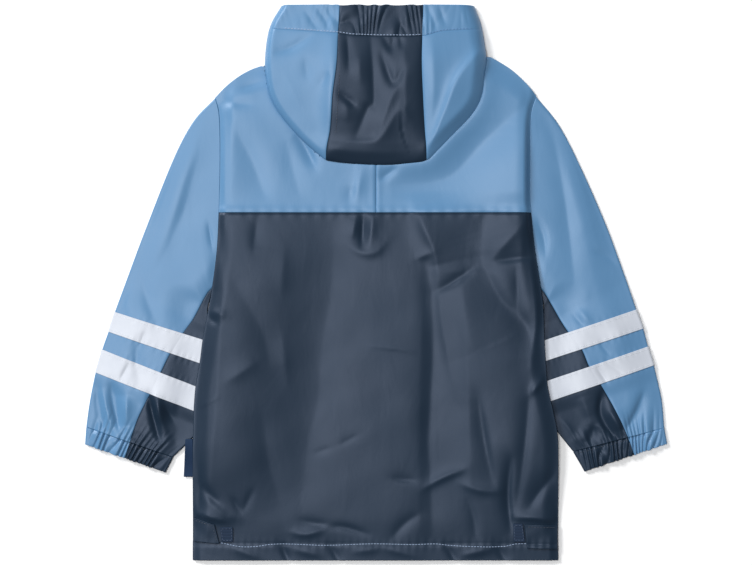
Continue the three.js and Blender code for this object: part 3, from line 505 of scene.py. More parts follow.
# the sleeve's inner edge lies tucked under the coat's side edges and lifts them
tuck = {"height": 5.7, "start": -8.0, "full": -34.0, "end": -166.0, "flat": -202.0, "reach": 30.0,
        "fade": 62.0, "backStart": 110.0, "backFlat": -260.0, "backFade": 125.0}


def frontLift(x, y):
    # underside of the fronts: over the tucked sleeve they rise, elsewhere they lie flat
    inset = bySide(sideEdge, x, y) - np.abs(x)
    rise = smooth(-tuck["start"], -tuck["full"], -y) * (1 - smooth(-tuck["end"], -tuck["flat"], -y))
    return tuck["height"] * rise * (1 - smooth(tuck["reach"], tuck["fade"], inset))


# Hood outline, which the yoke under it needs too
hood = {"top": 290.0, "dome": 11.0, "crown": 1.5, "yokeTop": 5.9, "tableTop": 1.4}
hoodSide = leftAndRight([
    (290, 99.8, 103.6), (274, 109.4, 109.6), (259, 114, 113), (236, 116.6, 115.8), (213, 115.5, 114),
    (193, 110.5, 111), (176, 100.9, 102), (156, 84, 83), (138, 65, 65.2), (129, 54, 56)])
hoodCentre = leftAndRight([
    (290, 37.8, 49.4), (258, 39.6, 48.3), (229, 41, 47.7), (196, 45.2, 49), (160, 48, 51), (140, 51.8, 52.6),
    (123, 52.6, 53.2)])
hoodBottom = cubicCurve(
    [(-56, 129.5), (-50, 127.5), (-31, 125), (6, 123), (35, 124.6), (50, 126.6), (58, 129.5)], 1)
casingSeam = cubicCurve([(-116, 266), (-42, 260.5), (-20, 257.8), (48, 257.6), (70, 262.5), (114, 265)], 1)
outlineYs = np.linspace(hood["top"] + 20, 130, 37)
outlineXs = np.linspace(-54, 55, 17)
hoodOutline = np.vstack([
    np.stack([-hoodSide[-1](outlineYs), outlineYs], axis=1),
    np.stack([outlineXs, hoodBottom(outlineXs)], axis=1),
    np.stack([hoodSide[1](outlineYs[::-1]), outlineYs[::-1]], axis=1)])


def hoodInset(x, y):
    # distance from the hood's outline, positive inside it
    nearest = np.full(x.shape, np.inf)
    for start, end in zip(hoodOutline, hoodOutline[1:]):
        step = end - start
        dx, dy = x - start[0], y - start[1]
        share = np.clip((dx * step[0] + dy * step[1]) / (step @ step), 0, 1)
        nearest = np.minimum(nearest, np.hypot(dx - share * step[0], dy - share * step[1]))
    inside = (np.abs(x) < bySide(hoodSide, x, y)) & (y > hoodBottom(x))
    return np.where(inside, nearest, -nearest)


# Folds of the navy back: height, width on the right and on the left of its run, and the run itself.
# A run that goes down the coat has the picture's left on its right-hand side.
backFolds = [
    (-2.2, 3.5, 4.5, [(-13.7, 70), (-14.7, 38)]),  # pleat under the centre seam
    (1.6, 4, 6, [(-3.2, 72), (-6.3, 40)]),
    (1.3, 8, 4, [(-21, 68), (-25, 45)]),
    (1.5, 5, 13, [(-29, 39), (-14.7, 31), (0, 32), (11, 43)]),
    (-1.8, 34, 24, [(-45, 66), (-47, -8), (-57, -66), (-61, -123), (-71, -165), (-78, -228), (-81, -255)]),
    (-1.2, 5, 8, [(-125, 66), (-128, 34)]),
    (-1.5, 5, 6, [(-162, 62), (-163, 20)]),
    (0.9, 14, 8, [(-96.6, 36), (-98.7, -14)]),
    (-1.2, 16, 20, [(-151, 5), (-120, -50), (-111, -88)]),
    (-1.4, 3, 3, [(-177, -35), (-166, -43)]),
    (1.1, 4, 5, [(-174, -30), (-157, -35)]),
    (1.0, 7, 10, [(-157, -104), (-124, -83)]),
    (0.6, 8, 7, [(-98, -50), (-93, -108)]),
    (-1.0, 14, 12, [(-120, -136), (-113, -186), (-101, -230)]),
    (0.5, 1.8, 2.2, [(-182, -130), (-167, -120)]),
    (-2.1, 14, 13, [(53, 18), (56, 5), (59.5, -29), (60, -71), (57, -123), (54.5, -168), (57, -207),
                    (59, -266)]),
    (1.2, 6, 15, [(64, 30), (68, -34), (75, -73), (83, -115)]),
    (1.2, 4, 8, [(42, 25), (58, 31)]),
    (-3.2, 40, 20, [(111.5, 76), (111.5, 40), (110, 10)]),  # main crease right of the middle
    (4.2, 9, 50, [(43, 78), (52, 55), (60, 36), (64, 18)]),
    (1.9, 22, 26, [(89, 8), (92, -18), (97, -50), (104, -75)]),
    (-3.8, 26, 10, [(111, 22), (122, -3), (133, -21), (147, -34), (159.6, -50), (163, -78)]),
    (-2.2, 4, 7, [(63, -9.5), (83, 1.6), (103, 16)]),
    (2.0, 18, 8, [(158, 66), (138.6, 44.6), (118, 21)]),
    (-2.0, 3.5, 8, [(124, 22.5), (144, 24.7), (166, 27)]),
    (-1.5, 8, 4, [(147, 16), (149, -31)]),
    (1.8, 6, 5, [(161.7, 22), (168, -31), (165, -66), (163, -88)]),
    (1.9, 5, 3.5, [(176, -100), (162, -117)]),
    (0.5, 2.2, 2.2, [(-5, -66.5), (20, -69), (40, -73)]),
    (-1.0, 2.5, 6, [(17, -206), (43, -208.5)]),
    (1.9, 3.5, 5.5, [(50, -216.5), (68, -206), (92, -196)]),
    (1.5, 4, 5.5, [(89, -211), (109, -218), (130, -219.5)]),
    (-2.3, 10, 5, [(107, -120), (111, -150), (116.6, -181), (123, -212)]),
    (-3.1, 6, 3.5, [(141, -186), (138.6, -223), (142, -260)]),
    (-1.9, 8, 5, [(161, -106), (157.5, -155), (152, -205), (146, -236)]),
    (-2.3, 5, 9, [(160, -237), (173, -218), (187, -200)]),
    (2.6, 2.6, 9, [(147, -246.8), (162, -247.4), (177, -248.6), (193, -249.2)]),
    (-1.3, 6, 6, [(16, -269), (30, -253), (45, -243)]),
    (-1.2, 6, 4, [(96, -224), (103, -249), (105, -271)]),
    (-1.8, 6, 4.2, [(-183, -212), (-172, -225), (-164, -232)]),
    (1.2, 6, 6, [(-180, -225), (-160, -243), (-146, -247)]),
    (-1.0, 2.5, 3, [(-151, -226), (-141.5, -242)]),
    (-0.85, 3.4, 3.6, [(-129, -217), (-139, -240)]),
    (-1.0, 2, 3.5, [(-187, -190), (-185.5, -245)]),
    (2.6, 2.6, 9, [(-194, -240.8), (-180, -244.6), (-170, -247.8), (-158, -250.4)]),
    (1.7, 4, 5, [(-89, -262), (-73.5, -264.5), (-56, -260)]),
    (-1.2, 5, 5, [(-80, -249.5), (-65, -253), (-50, -254)]),
    (-1.3, 3, 4, [(-48, -256.5), (-32.6, -257.3), (-9, -264.5)]),
    (-0.42, 2.6, 3.8, [(-39.5, -171), (-19, -160.5)]),
    (-0.35, 3.6, 3.6, [(-65, -179.5), (-47, -173.5)]),
    (-1.8, 3, 4, [(-101, -274), (-91, -294)]),
    (-1.4, 3, 4, [(-49, -275), (-38, -294)]),
    (-1.4, 3, 5, [(73, -275), (84, -294)]),
    (-1.5, 4, 5, [(126, -275), (137, -294)]),
    (1.2, 5, 4, [(-150, -279), (-122, -289)]),
    (1.3, 4, 6, [(-86, -280), (-58, -287)]),
    (1.0, 4, 5, [(-24, -283), (2, -280)]),
    (1.1, 4, 6, [(8, -279), (44, -288)]),
    (1.3, 4, 5, [(92, -286), (121, -280)]),
    (1.4, 85, 12, [(44, 62), (46, 10), (47, -60), (45, -150), (45, -285)]),
    (1.8, 10, 45, [(92, -20), (96, -90), (98, -150), (100, -230)]),
    (3.0, 12, 85, [(-157, 150), (-163, -60), (-177, -262)]),
    (4.6, 44, 15, [(158, 150), (155, 74), (151, 14)]),
]
yokeFolds = [
    (1.5, 4, 3.5, [(-169, 193), (-163.5, 181), (-162, 150), (-161.5, 123), (-161, 82)]),  # armhole seam
    (-1.7, 18, 11, [(-152, 168), (-130, 128), (-115, 86)]),
    (-1.0, 5, 5, [(-117, 211), (-143, 204)]),
    (-1.1, 5, 8, [(-166, 190), (-130, 187)]),
    (-2.2, 7, 5, [(-84, 157), (-73, 140), (-64, 121)]),
    (-0.9, 6, 7, [(-26, 102), (-29, 77)]),
    (0.9, 7, 6, [(-15, 118), (-22, 80)]),
    (-0.9, 14, 10, [(-95, 150), (-80, 90)]),
    (-3.9, 25, 36, [(178, 206), (140, 172), (111, 145), (94, 126), (77, 111), (52, 104), (16, 102)]),
    (6.8, 68, 17, [(168, 214), (158, 165), (157, 120), (154, 40)]),
    (2.6, 12, 62, [(-146, 236), (-151, 160), (-153, 66)]),
    (-1.4, 4, 6, [(5, 108), (22, 121)]),
    (-1.2, 4, 4, [(161.5, 182), (160.5, 130), (162, 78)]),
]


def backLift(x, y):
    # the back spreads the fronts' rise over a wider and softer mound, and lies on the higher of the two
    inset = bySide(sideEdge, x, y) - np.abs(x)
    rise = smooth(-tuck["backStart"], -tuck["full"], -y) * (1 - smooth(-tuck["end"], -tuck["backFlat"], -y))
    mound = tuck["height"] * rise * (1 - smooth(tuck["reach"], tuck["backFade"], inset))
    return np.maximum(frontLift(x, y), mound)


def armholeGap(x, y):
    # air under the back along the armhole: little at its two ends and most between them, as a half wave
    tipY = np.where(x < 0, shoulderTip[-1][1], shoulderTip[1][1])
    share = np.clip((tipY - y) / (tipY - coat["underarmY"]), 0, 1)
    return mix(coat["sideSeamGap"], backForm["armholeGap"], np.sin(np.pi * share) ** 0.7)


def seamPucker(x, away, height, pitch, drift, driftPitch):
    # small waves along a seam, whose pitch drifts, fading away from it as a bell
    return (height * np.sin(2 * np.pi * x / pitch + drift * np.sin(x / driftPitch))
            * np.exp(-(away / backForm["puckerReach"]) ** 2))


# heights of the back's form, and the reaches over which it eases from its edges and seams
backForm = {"armholeGap": 2.2, "sideEase": 17.0, "shoulderEase": 28.0, "hemEase": 45.0, "hemGap": 1.8,
            "turnedHem": 0.5, "stitchDip": 0.5, "stitchReach": 1.5, "puckerReach": 6.0,
            "hemPucker": (0.13, 8.3, 1.7, 23), "yokePucker": (0.16, 13, 1.5, 31),
            "foldEase": 6.0, "yokeBlend": 24.0, "yokeFoldGain": 1.35, "waver": 0.22, "waverSize": 46.0,
            "least": 0.25}


def backHeight(x, y):
    # height of the back's outer face: the fronts, the air between, the turned hem, the folds and the seams
    inset = bySide(sideEdge, x, y) - np.abs(x)
    edgeGap = np.where(y > coat["underarmY"], armholeGap(x, y), coat["sideSeamGap"])
    belowShoulder = bySide(backTopLine, x, np.abs(x)) - y + 60 * (1 - smooth(92, 116, np.abs(x)))
    gap = mix(edgeGap, coat["bodyGap"], smooth(0, backForm["sideEase"], inset))
    gap = mix(coat["sideSeamGap"], gap, smooth(0, backForm["shoulderEase"], belowShoulder))
    aboveHem = smooth(coat["hemY"], coat["hemY"] + backForm["hemEase"], y)
    gap = mix(np.minimum(gap, backForm["hemGap"]), gap, aboveHem)
    fromStitch, fromYoke = y - coat["stitchY"], y - coat["yokeSeamY"]
    hem = (backForm["turnedHem"] * (1 - smooth(-2, 3, fromStitch))
           - backForm["stitchDip"] * np.exp(-(fromStitch / backForm["stitchReach"]) ** 2)
           + seamPucker(x, fromStitch, *backForm["hemPucker"]))
    onYoke = smooth(0, backForm["yokeBlend"], fromYoke)
    folds = mix(foldRelief(backFolds, x, y), backForm["yokeFoldGain"] * foldRelief(yokeFolds, x, y), onYoke)
    folds = folds + backForm["waver"] * wander(x, y, backForm["waverSize"])
    folds = folds * smooth(0, backForm["foldEase"], inset)
    flat = backLift(x, y) + 2 * coat["cloth"]
    height = flat + gap + hem + seamPucker(x, fromYoke, *backForm["yokePucker"]) + folds
    return softMax(height, flat + backForm["least"], 0.3)


# Back: the navy panel with its turned hem, whose upper edge lies under the yoke's
backSettings = {"step": 2.1, "width": 384.0, "tucked": 2.6, "drop": 1.25, "edgeDrop": 0.65, "turned": 0.5}
topY = coat["yokeSeamY"] + backSettings["tucked"]
bodyLength = topY - coat["hemY"]
bodyRows = topY - stations(bodyLength, backSettings["step"]) * bodyLength
y, share = np.meshgrid(bodyRows, stations(backSettings["width"], backSettings["step"]), indexing="ij")
x = mix(-sideEdge[-1](y) + coat["edgeInset"], sideEdge[1](y) - coat["edgeInset"], share)
z = backHeight(x, np.minimum(y, coat["yokeSeamY"] + 1))
inset = bySide(sideEdge, x, y) - np.abs(x)
z -= mix(backSettings["edgeDrop"], backSettings["drop"], smooth(0, 8, inset)) * smooth(
    coat["yokeSeamY"] - 1.6, coat["yokeSeamY"] + 0.6, y)
grid = np.stack([x, y, z], axis=-1)
wall = np.where(y < coat["hemY"] + coat["hemDepth"], coat["cloth"] + backSettings["turned"], coat["cloth"])
clothPiece("backBody", fallingWall(grid, wall), navy)


# Yokes: each half stretched between the yoke seam, the centre seam, the neckline and the armhole
def edgePatch(bottom, top, start, end, u, v):
    # surface between four edges: the blend of the bottom and the top plus the blend of the start and the
    # end, less the blend of the four corners
    corner = (bottom(0 * u) * (1 - u) * (1 - v) + bottom(0 * u + 1) * u * (1 - v)
              + top(0 * u) * (1 - u) * v + top(0 * u + 1) * u * v)
    return bottom(u) * (1 - v) + top(u) * v + start(v) * (1 - u) + end(v) * u - corner


def pair(x, y):
    # places given by two coordinates, one of which may be the same for all
    return np.stack(np.broadcast_arrays(x, y), axis=0)


def yokeGrid(sign, centreX, topLine, heightAt, across, up):
    # half a yoke: a patch between the yoke seam, the neck and shoulder line, the centre and the armhole
    tipX = shoulderTip[sign][0] - coat["edgeInset"]
    seamY = coat["yokeSeamY"] + halfGap
    topAt = topLine[sign]
    v, u = np.meshgrid(up, across, indexing="ij")

    def edgeX(y):
        return sideEdge[sign](y) - coat["edgeInset"]

    def upperEdge(share):
        x = mix(centreX, tipX, share)
        return pair(x, topAt(np.abs(x)))

    def armhole(share):
        y = mix(seamY, topAt(tipX), share)
        return pair(edgeX(y), y)

    x, y = edgePatch(
        lambda share: pair(mix(centreX, edgeX(seamY), share), seamY), upperEdge,
        lambda share: pair(centreX, mix(seamY, topAt(abs(centreX)), share)), armhole, u, v)
    return grow(sign * x, y, heightAt)


yokeForm = {"mound": 1.5, "moundReach": 15.0, "nearMound": 0.5, "nearReach": 10.0, "clear": 0.4,
            "seamDip": 0.55, "seamSwell": 0.25, "rolledEdge": 0.45, "step": 2.1}


def yokeHeight(x, y):
    # the back's height, mounded beside the hood that weighs on it, dented under it, and sewn at the centre
    inset = hoodInset(x, y)
    mound = (yokeForm["mound"] * np.exp(-(inset / yokeForm["moundReach"]) ** 2) * smooth(-40, 25, x)
             + yokeForm["nearMound"] * np.exp(-(inset / yokeForm["nearReach"]) ** 2))
    height = backHeight(x, y) + np.where(inset < 0, mound, 0)
    underHood = hood["yokeTop"] - yokeForm["clear"]
    dented = np.minimum(height + mound, mix(height + mound, underHood, smooth(0, 5, inset)))
    height = np.where(inset > 0, dented, height)
    height = np.where(inset > 3, np.minimum(height, underHood), height)
    centreSeam = (yokeForm["seamDip"] * np.exp(-np.abs(x) / 0.9)
                  - yokeForm["seamSwell"] * np.exp(-((np.abs(x) - 3) / 2.2) ** 2))
    rolledEdge = yokeForm["rolledEdge"] * np.exp(-((y - coat["yokeSeamY"] - 3) / 3) ** 2)
    return height - centreSeam * (inset < 2) + rolledEdge


for sign, side in sides:
    grid = yokeGrid(sign, halfGap, backTopLine, yokeHeight, stations(166, yokeForm["step"]),
                    stations(150, yokeForm["step"]))
    clothPiece(f"backYoke{side}", fallingWall(grid, coat["cloth"]), blue)
print("back and yokes ready")

# Fronts: on the surface under the back, the left one outermost, drawn in a little round each press stud
frontSettings = {"rowStep": 4.0, "columnStep": 3.2, "studYs": (150, 58, -34, -126, -218), "studDent": 0.35,
                 "dentFrom": 6.2, "dentTo": 9.0, "lapFrom": 0.7, "lapTo": 12.0}


def floorWall(under):
    # a wall of the coat's cloth above its underside
    return [wallShell(lowered(under, -coat["cloth"]), under)]


def frontHeight(sign, x, y):
    # underside of a front: the rise over the sleeve, the dents round the studs on the left,
    # and on the right the step up over the left one's edge
    lift = frontLift(x, y)
    if sign > 0:
        pastLap = smooth(frontSettings["lapFrom"], frontSettings["lapTo"], x - coat["frontLap"])
        return lift + (coat["cloth"] + coat["seamGap"]) * (1 - pastLap)
    for studY in frontSettings["studYs"]:
        away = smooth(frontSettings["dentFrom"], frontSettings["dentTo"], np.hypot(x, y - studY))
        lift = lift + frontSettings["studDent"] * (1 - away)
    return lift


for sign, side in sides:
    topY = coat["yokeSeamY"] - halfGap
    rows = topY - stations(topY - coat["hemY"], frontSettings["rowStep"]) * (topY - coat["hemY"])
    y, share = np.meshgrid(rows, stations(205, frontSettings["columnStep"]), indexing="ij")
    x = sign * mix(sideEdge[sign](y) - coat["edgeInset"], -coat["frontLap"], share)
    under = grow(x, y, lambda x, y: frontHeight(sign, x, y))
    clothPiece(f"frontBody{side}", floorWall(under), navy)
    under = yokeGrid(sign, -coat["frontLap"], frontTopLine, lambda x, y: frontHeight(sign, x, y),
                     stations(180, frontSettings["columnStep"]), stations(120, frontSettings["rowStep"]))
    clothPiece(f"frontYoke{side}", floorWall(under), blue)
for nodeName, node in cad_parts.items():
    if nodeName.startswith("press_stud"):
        node.data.materials.clear()
        node.data.materials.append(studNickel)
        node.data.polygons.foreach_set("use_smooth", np.zeros(len(node.data.polygons), bool))
print("fronts ready")

# Sleeves: flattened tubes laid along stations from shoulder to cuff
sleeveRows = {
    # share of the length, outer silhouette, inner silhouette, share of the width where blue meets navy
    1: [(0, 168.4, 195.2, 173.2, -8, 0.985), (0.09, 190.5, 168, 174.1, -13, 0.97),
        (0.18, 209, 134, 174.9, -18, 0.95), (0.36, 240.5, 63.5, 176.1, -29, 0.9),
        (0.5, 262, 5.5, 172.5, -46, 0.79), (0.58, 273.5, -28.5, 166, -64.5, 0.665),
        (0.64, 280.6, -48.3, 164, -87, 0.558), (0.7, 285.8, -67.3, 165, -108.5, 0.513),
        (0.76, 291.8, -86.8, 169, -129.5, 0.46), (0.88, 300, -122, 189, -155, 0.43),
        (1, 303, -152.5, 207, -177.5, 0.4)],
    -1: [(0, 169.4, 193.7, 172.4, -8, 0.985), (0.09, 191.5, 170, 173.6, -13, 0.97),
         (0.18, 211, 134, 174.6, -18, 0.95), (0.36, 242.6, 55, 176.9, -31, 0.9),
         (0.5, 262, 3, 174, -48, 0.8), (0.58, 274.3, -31, 168, -64.6, 0.675),
         (0.64, 281, -51.6, 166, -91.3, 0.569), (0.7, 287.6, -70.4, 168, -117.6, 0.515),
         (0.76, 294.5, -94.4, 173, -142, 0.473), (0.88, 300.8, -125, 192, -163, 0.468),
         (1, 304.5, -151.5, 213, -183.5, 0.5)]}
sleeveCurve = {sign: [cubicCurve(rows, column) for column in range(1, 6)]
               for sign, rows in sleeveRows.items()}
sleeve = {"edge": 2.6, "middle": 5.0, "tapeLift": 1.3, "lengthStep": 0.0068, "least": 2.0,
          "armholeBulge": 0.85, "outerEase": 36.0, "tuckWidth": 27.0, "tuckEase": 32.0, "edgeEase": 9.0,
          "waver": 0.2, "waverSize": 38.0, "gather": 2.4, "pucker": 0.14, "puckerShare": 0.012,
          "tapeFaces": (0.75, 0.15), "tapeDip": 0.15, "tapeDipReach": 2.0, "threadLift": 0.05,
          "tapes": (("Upper", 0.58, 0.64), ("Lower", 0.7, 0.76)), "tapeEdges": (0.58, 0.64, 0.7, 0.76),
          "tapeFlats": {"LeftUpper": (0.255, 0.023), "LeftLower": (0.270, 0.0255),
                        "RightUpper": (0.240, 0.0225), "RightLower": (0.250, 0.0235)}}
sleeveFolds = {
    -1: [(1.6, 7, 7, [(-262, -118), (-262, -150)]),
         (1.2, 26, 12, [(-178, 178), (-195, 132), (-207, 84), (-233, 22)]),
         (-1.8, 12, 22, [(-181, 158), (-203, 73), (-232, 10)]),
         (-1.2, 3, 3, [(-176, 62), (-172, 36)]),
         (-1.4, 6, 11, [(-247, 6), (-240, -20), (-229, -48)]),
         (1.3, 12, 8, [(-262, -2), (-256, -48)]),
         (-1.6, 6, 9, [(-250, -58), (-252, -80), (-248, -104)]),
         (-1.2, 2.2, 4, [(-258.7, -84.5), (-268.8, -102.4)]),
         (-1.0, 2, 3, [(-243, -52), (-248, -66)]),
         (-2.4, 3.5, 6, [(-279, -104), (-275, -130), (-270, -154)]),
         (-2.0, 3, 4.5, [(-296, -108), (-292, -132), (-286, -154)]),
         (1.3, 4, 5, [(-288, -110), (-284, -130), (-279, -150)]),
         (1.5, 9, 9, [(-232, -116), (-222, -160)]),
         (-2.4, 2.8, 3.5, [(-239.4, -115), (-234, -140), (-227.9, -165)]),
         (1.6, 4, 5, [(-230, -117), (-227, -140), (-219, -160)]),
         (-1.4, 2.4, 3.5, [(-222.6, -127.6), (-217, -138), (-210, -150)]),
         (-2.6, 4.5, 8, [(-208, -126), (-205, -148), (-210, -170)]),
         (0.9, 14, 14, [(-222, 120), (-240, 60)])],
    1: [(-2.0, 13, 9, [(174, 190), (188, 143.3), (198, 88.7), (205, 33), (208, 0)]),
        (1.3, 10, 16, [(196, 165), (216, 100), (236, 30)]),
        (-1.3, 9, 5, [(210, 150), (238, 86), (256, 22)]),
        (-1.8, 7, 4, [(169, 66), (176, 48), (178, 30)]),
        (-1.3, 2.2, 3.5, [(230, 32), (244, 26), (258, 15)]),
        (-1.1, 3, 3, [(206, -32), (219, -47)]),
        (0.9, 4, 4, [(212, -28), (225, -42)]),
        (-1.0, 2.4, 3.5, [(233, -62), (246, -77)]),
        (-1.5, 2.5, 4, [(230, -87), (242, -105)]),
        (-0.8, 2.5, 3.5, [(240, -83), (262, -97)]),
        (-2.0, 4, 7, [(281, -116), (275, -135), (264, -153)]),
        (1.4, 9, 8, [(216, -120), (226, -150)]),
        (-1.8, 5, 7, [(229, -150), (224, -170)]),
        (-2.0, 2.6, 4.5, [(237, -116), (235, -136), (243, -153), (254, -166)]),
        (1.5, 4, 7, [(245, -134), (256, -155)]),
        (1.1, 2.5, 3.5, [(194, -143), (203, -154), (211, -169)]),
        (0.9, 12, 12, [(250, -40), (262, -70)])]}
cuffLean = {-1: 0.75, 1: -1.5}  # how far a gather leans from the top of a cuff to its end, in gathers


def gatherWave(distance, width, slant, seed):
    # uneven gathers across a cuff: round lumps with narrow valleys between them, 0 to 1
    share = distance / width
    phase = 17.3 * share + 0.55 * np.sin(9.4 * share + seed) + 0.3 * np.sin(23 * share + 2 * seed) + slant
    strength = 0.72 + 0.28 * np.sin(31 * share + 3 * seed)
    return strength * np.abs(np.sin(np.pi * phase)) ** 0.6


def sleevePlace(sign, t, a, width):
    # place across the sleeve, from its outer silhouette; near the shoulder it bends along the armhole seam
    outerX, outerY, innerX, innerY = (curve(t) for curve in sleeveCurve[sign][:4])
    startX, startY, endX, endY = (curve(0) for curve in sleeveCurve[sign][:4])
    share = a / width
    seamY = mix(startY, endY, share)
    bend = (sideEdge[sign](seamY) + coat["edgeInset"] - mix(startX, endX, share)) * (1 - smooth(0, 0.2, t))
    return sign * (mix(outerX, innerX, share) + bend), mix(outerY, innerY, share)


turnPoints = 7  # points round the folded edge of a flattened tube


def panelLoops(width, seam, edge, base, topAt, bottomAt, cells):
    # the two panels round a flattened tube, as distance across and height: each has an underside, a rounded
    # edge and an upper side, and they are parted by the gap of the seam
    radius = edge / 2
    turn = np.radians(np.linspace(-60, 60, turnPoints))
    outerFold = np.stack([radius * (1 - np.cos(turn)), base + radius * (1 + np.sin(turn))], axis=1)
    innerFold = np.stack([width - outerFold[:, 0], outerFold[:, 1]], axis=1)[::-1]

    def lay(span, shares, heightAt):
        across = mix(*span, shares)
        return np.stack([across, heightAt(across)], axis=1)

    outerSpan, innerSpan = (radius, seam - halfGap), (seam + halfGap, width - radius)
    return {
        "outer": np.vstack([lay(outerSpan, cells["bottom"], bottomAt)[::-1], outerFold,
                            lay(outerSpan, cells["outerTop"], topAt)]),
        "inner": np.vstack([lay(innerSpan, cells["innerTop"], topAt), innerFold,
                            lay(innerSpan, cells["bottom"], bottomAt)[::-1]])}


def sleeveSection(sign, t, cells, seamDip=0.5, seamReach=0.9):
    # loop across the sleeve at one station, in two halves: it swells from its edges to the middle, stays low
    # where it is tucked under the coat, and carries the folds, the cuff's gathers and the seam's dip
    outerX, outerY, innerX, innerY, seamShare = (float(curve(t)) for curve in sleeveCurve[sign])
    width = math.hypot(outerX - innerX, outerY - innerY)
    base = sleeve["tapeLift"] * float(smooth(0.5, 0.58, t) * (1 - smooth(0.76, 0.82, t)))
    radius, seam = sleeve["edge"] / 2, width * seamShare

    def topAt(a):
        tucked = sleeve["tuckWidth"] * smooth(0.3, 0.48, t) * (1 - smooth(0.86, 0.96, t))
        middle = smooth(0, sleeve["outerEase"], a) * smooth(tucked, tucked + sleeve["tuckEase"], width - a)
        atArmhole = sleeve["armholeBulge"] * np.sin(np.pi * np.clip(a / width, 0, 1)) ** 0.7
        bulge = mix(atArmhole, middle, smooth(0, 0.15, t))
        x, y = sleevePlace(sign, t, a, width)
        folds = foldRelief(sleeveFolds[sign], x, y) + sleeve["waver"] * wander(x, y, sleeve["waverSize"])
        gather = sleeve["gather"] * smooth(0.85, 1, t) ** 1.7 * (
            gatherWave(a, width, -cuffLean[sign] * 3 * (1 - t), 1.7 + sign) - 0.5)
        dip = seamDip * np.exp(-np.abs(a - seam) / seamReach)
        pastEdge = radius + sleeve["edgeEase"]
        edge = smooth(radius, pastEdge, a) * smooth(radius, pastEdge, width - a)
        nearTape = sum(np.exp(-((t - tapeEdge) / sleeve["puckerShare"]) ** 2)
                       for tapeEdge in sleeve["tapeEdges"])
        pucker = sleeve["pucker"] * np.exp(-((t - 0.67) / 0.12) ** 2) * np.sin(
            a * 0.9 + 3 * np.sin(a / 17)) * nearTape
        loose = mix(0.4, 1, bulge) * mix(1, 2.2, smooth(0.72, 0.82, t))
        relief = (folds * loose + gather + pucker - dip) * edge
        height = mix(sleeve["edge"], sleeve["middle"], bulge) + relief
        return base + softMax(height, sleeve["least"], 0.6 * edge)

    loops = panelLoops(width, seam, sleeve["edge"], base, topAt, lambda a: np.full(len(a), base), cells)
    return {**loops, "width": width}


def offsetLoop(loop, distance, isRing=False):
    # the loop moved along its normals in its own plane, outwards if positive
    if isRing:
        step = np.roll(loop, -1, axis=0) - np.roll(loop, 1, axis=0)
    else:
        step = np.vstack([loop[1:], loop[-1:]]) - np.vstack([loop[:1], loop[:-1]])
    step /= np.linalg.norm(step, axis=1, keepdims=True) + 1e-9
    return loop + np.stack([-step[:, 1], step[:, 0]], axis=1) * distance


def placedLoop(sign, t, loop, width):
    # a section's loop at its place along the sleeve
    x, y = sleevePlace(sign, t, loop[:, 0], width)
    return np.stack([x, y, loop[:, 1]], axis=1)


def endCells(count, fine=0.012):
    # shares across a panel, with a close pair at each end where it is sewn
    return np.concatenate([[0, fine], np.linspace(2.6 * fine, 1 - 2.6 * fine, count), [1 - fine, 1]])


sleeveCells = {"outerTop": endCells(46), "innerTop": endCells(34), "bottom": endCells(14)}
sleeveStations = np.concatenate([[0, 0.002], np.arange(0.0068, 0.996, sleeve["lengthStep"]), [0.998, 1]])
panels = (("outer", "Outer", blue, (0.26, 0.35), 0.047), ("inner", "Under", navy, (0.18, 0.29), 0.017))
tapeRuns = []
for sign, side in sides:
    sections = [sleeveSection(sign, t, sleeveCells) for t in sleeveStations]
    for key, end, finish, flat, area in panels:
        outer, inner = (np.array([placedLoop(sign, t, offsetLoop(section[key], distance), section["width"])
                                  for t, section in zip(sleeveStations, sections)])
                        for distance in (0, -coat["cloth"]))
        clothPiece(f"sleeve{side}{end}", [wallShell(outer, inner)], finish)
    for tapeName, low, high in sleeve["tapes"]:
        inner = np.linspace(low, high, 10)[1:-1]
        tapeStations = np.concatenate([[low, low + 0.001], inner, [high - 0.001, high]])
        sections = [sleeveSection(sign, t, sleeveCells, sleeve["tapeDip"], sleeve["tapeDipReach"])
                    for t in tapeStations]
        outer, inner = (np.array([
            placedLoop(sign, t, offsetLoop(np.vstack([section["outer"], section["inner"]]), distance, True),
                       section["width"])
            for t, section in zip(tapeStations, sections)]) for distance in sleeve["tapeFaces"])
        clothPiece(f"tape{side}{tapeName}", [wallShell(outer, inner, True)], reflective,
                   node=f"stripe_{side}_{tapeName}".lower())
        underCount = len(sleeveCells["bottom"]) + turnPoints
        for row in (2, -3):  # sewn along both edges of its upper side
            tapeRuns.append(outer[row, underCount:-underCount] + [0, 0, sleeve["threadLift"]])
print("sleeves ready")

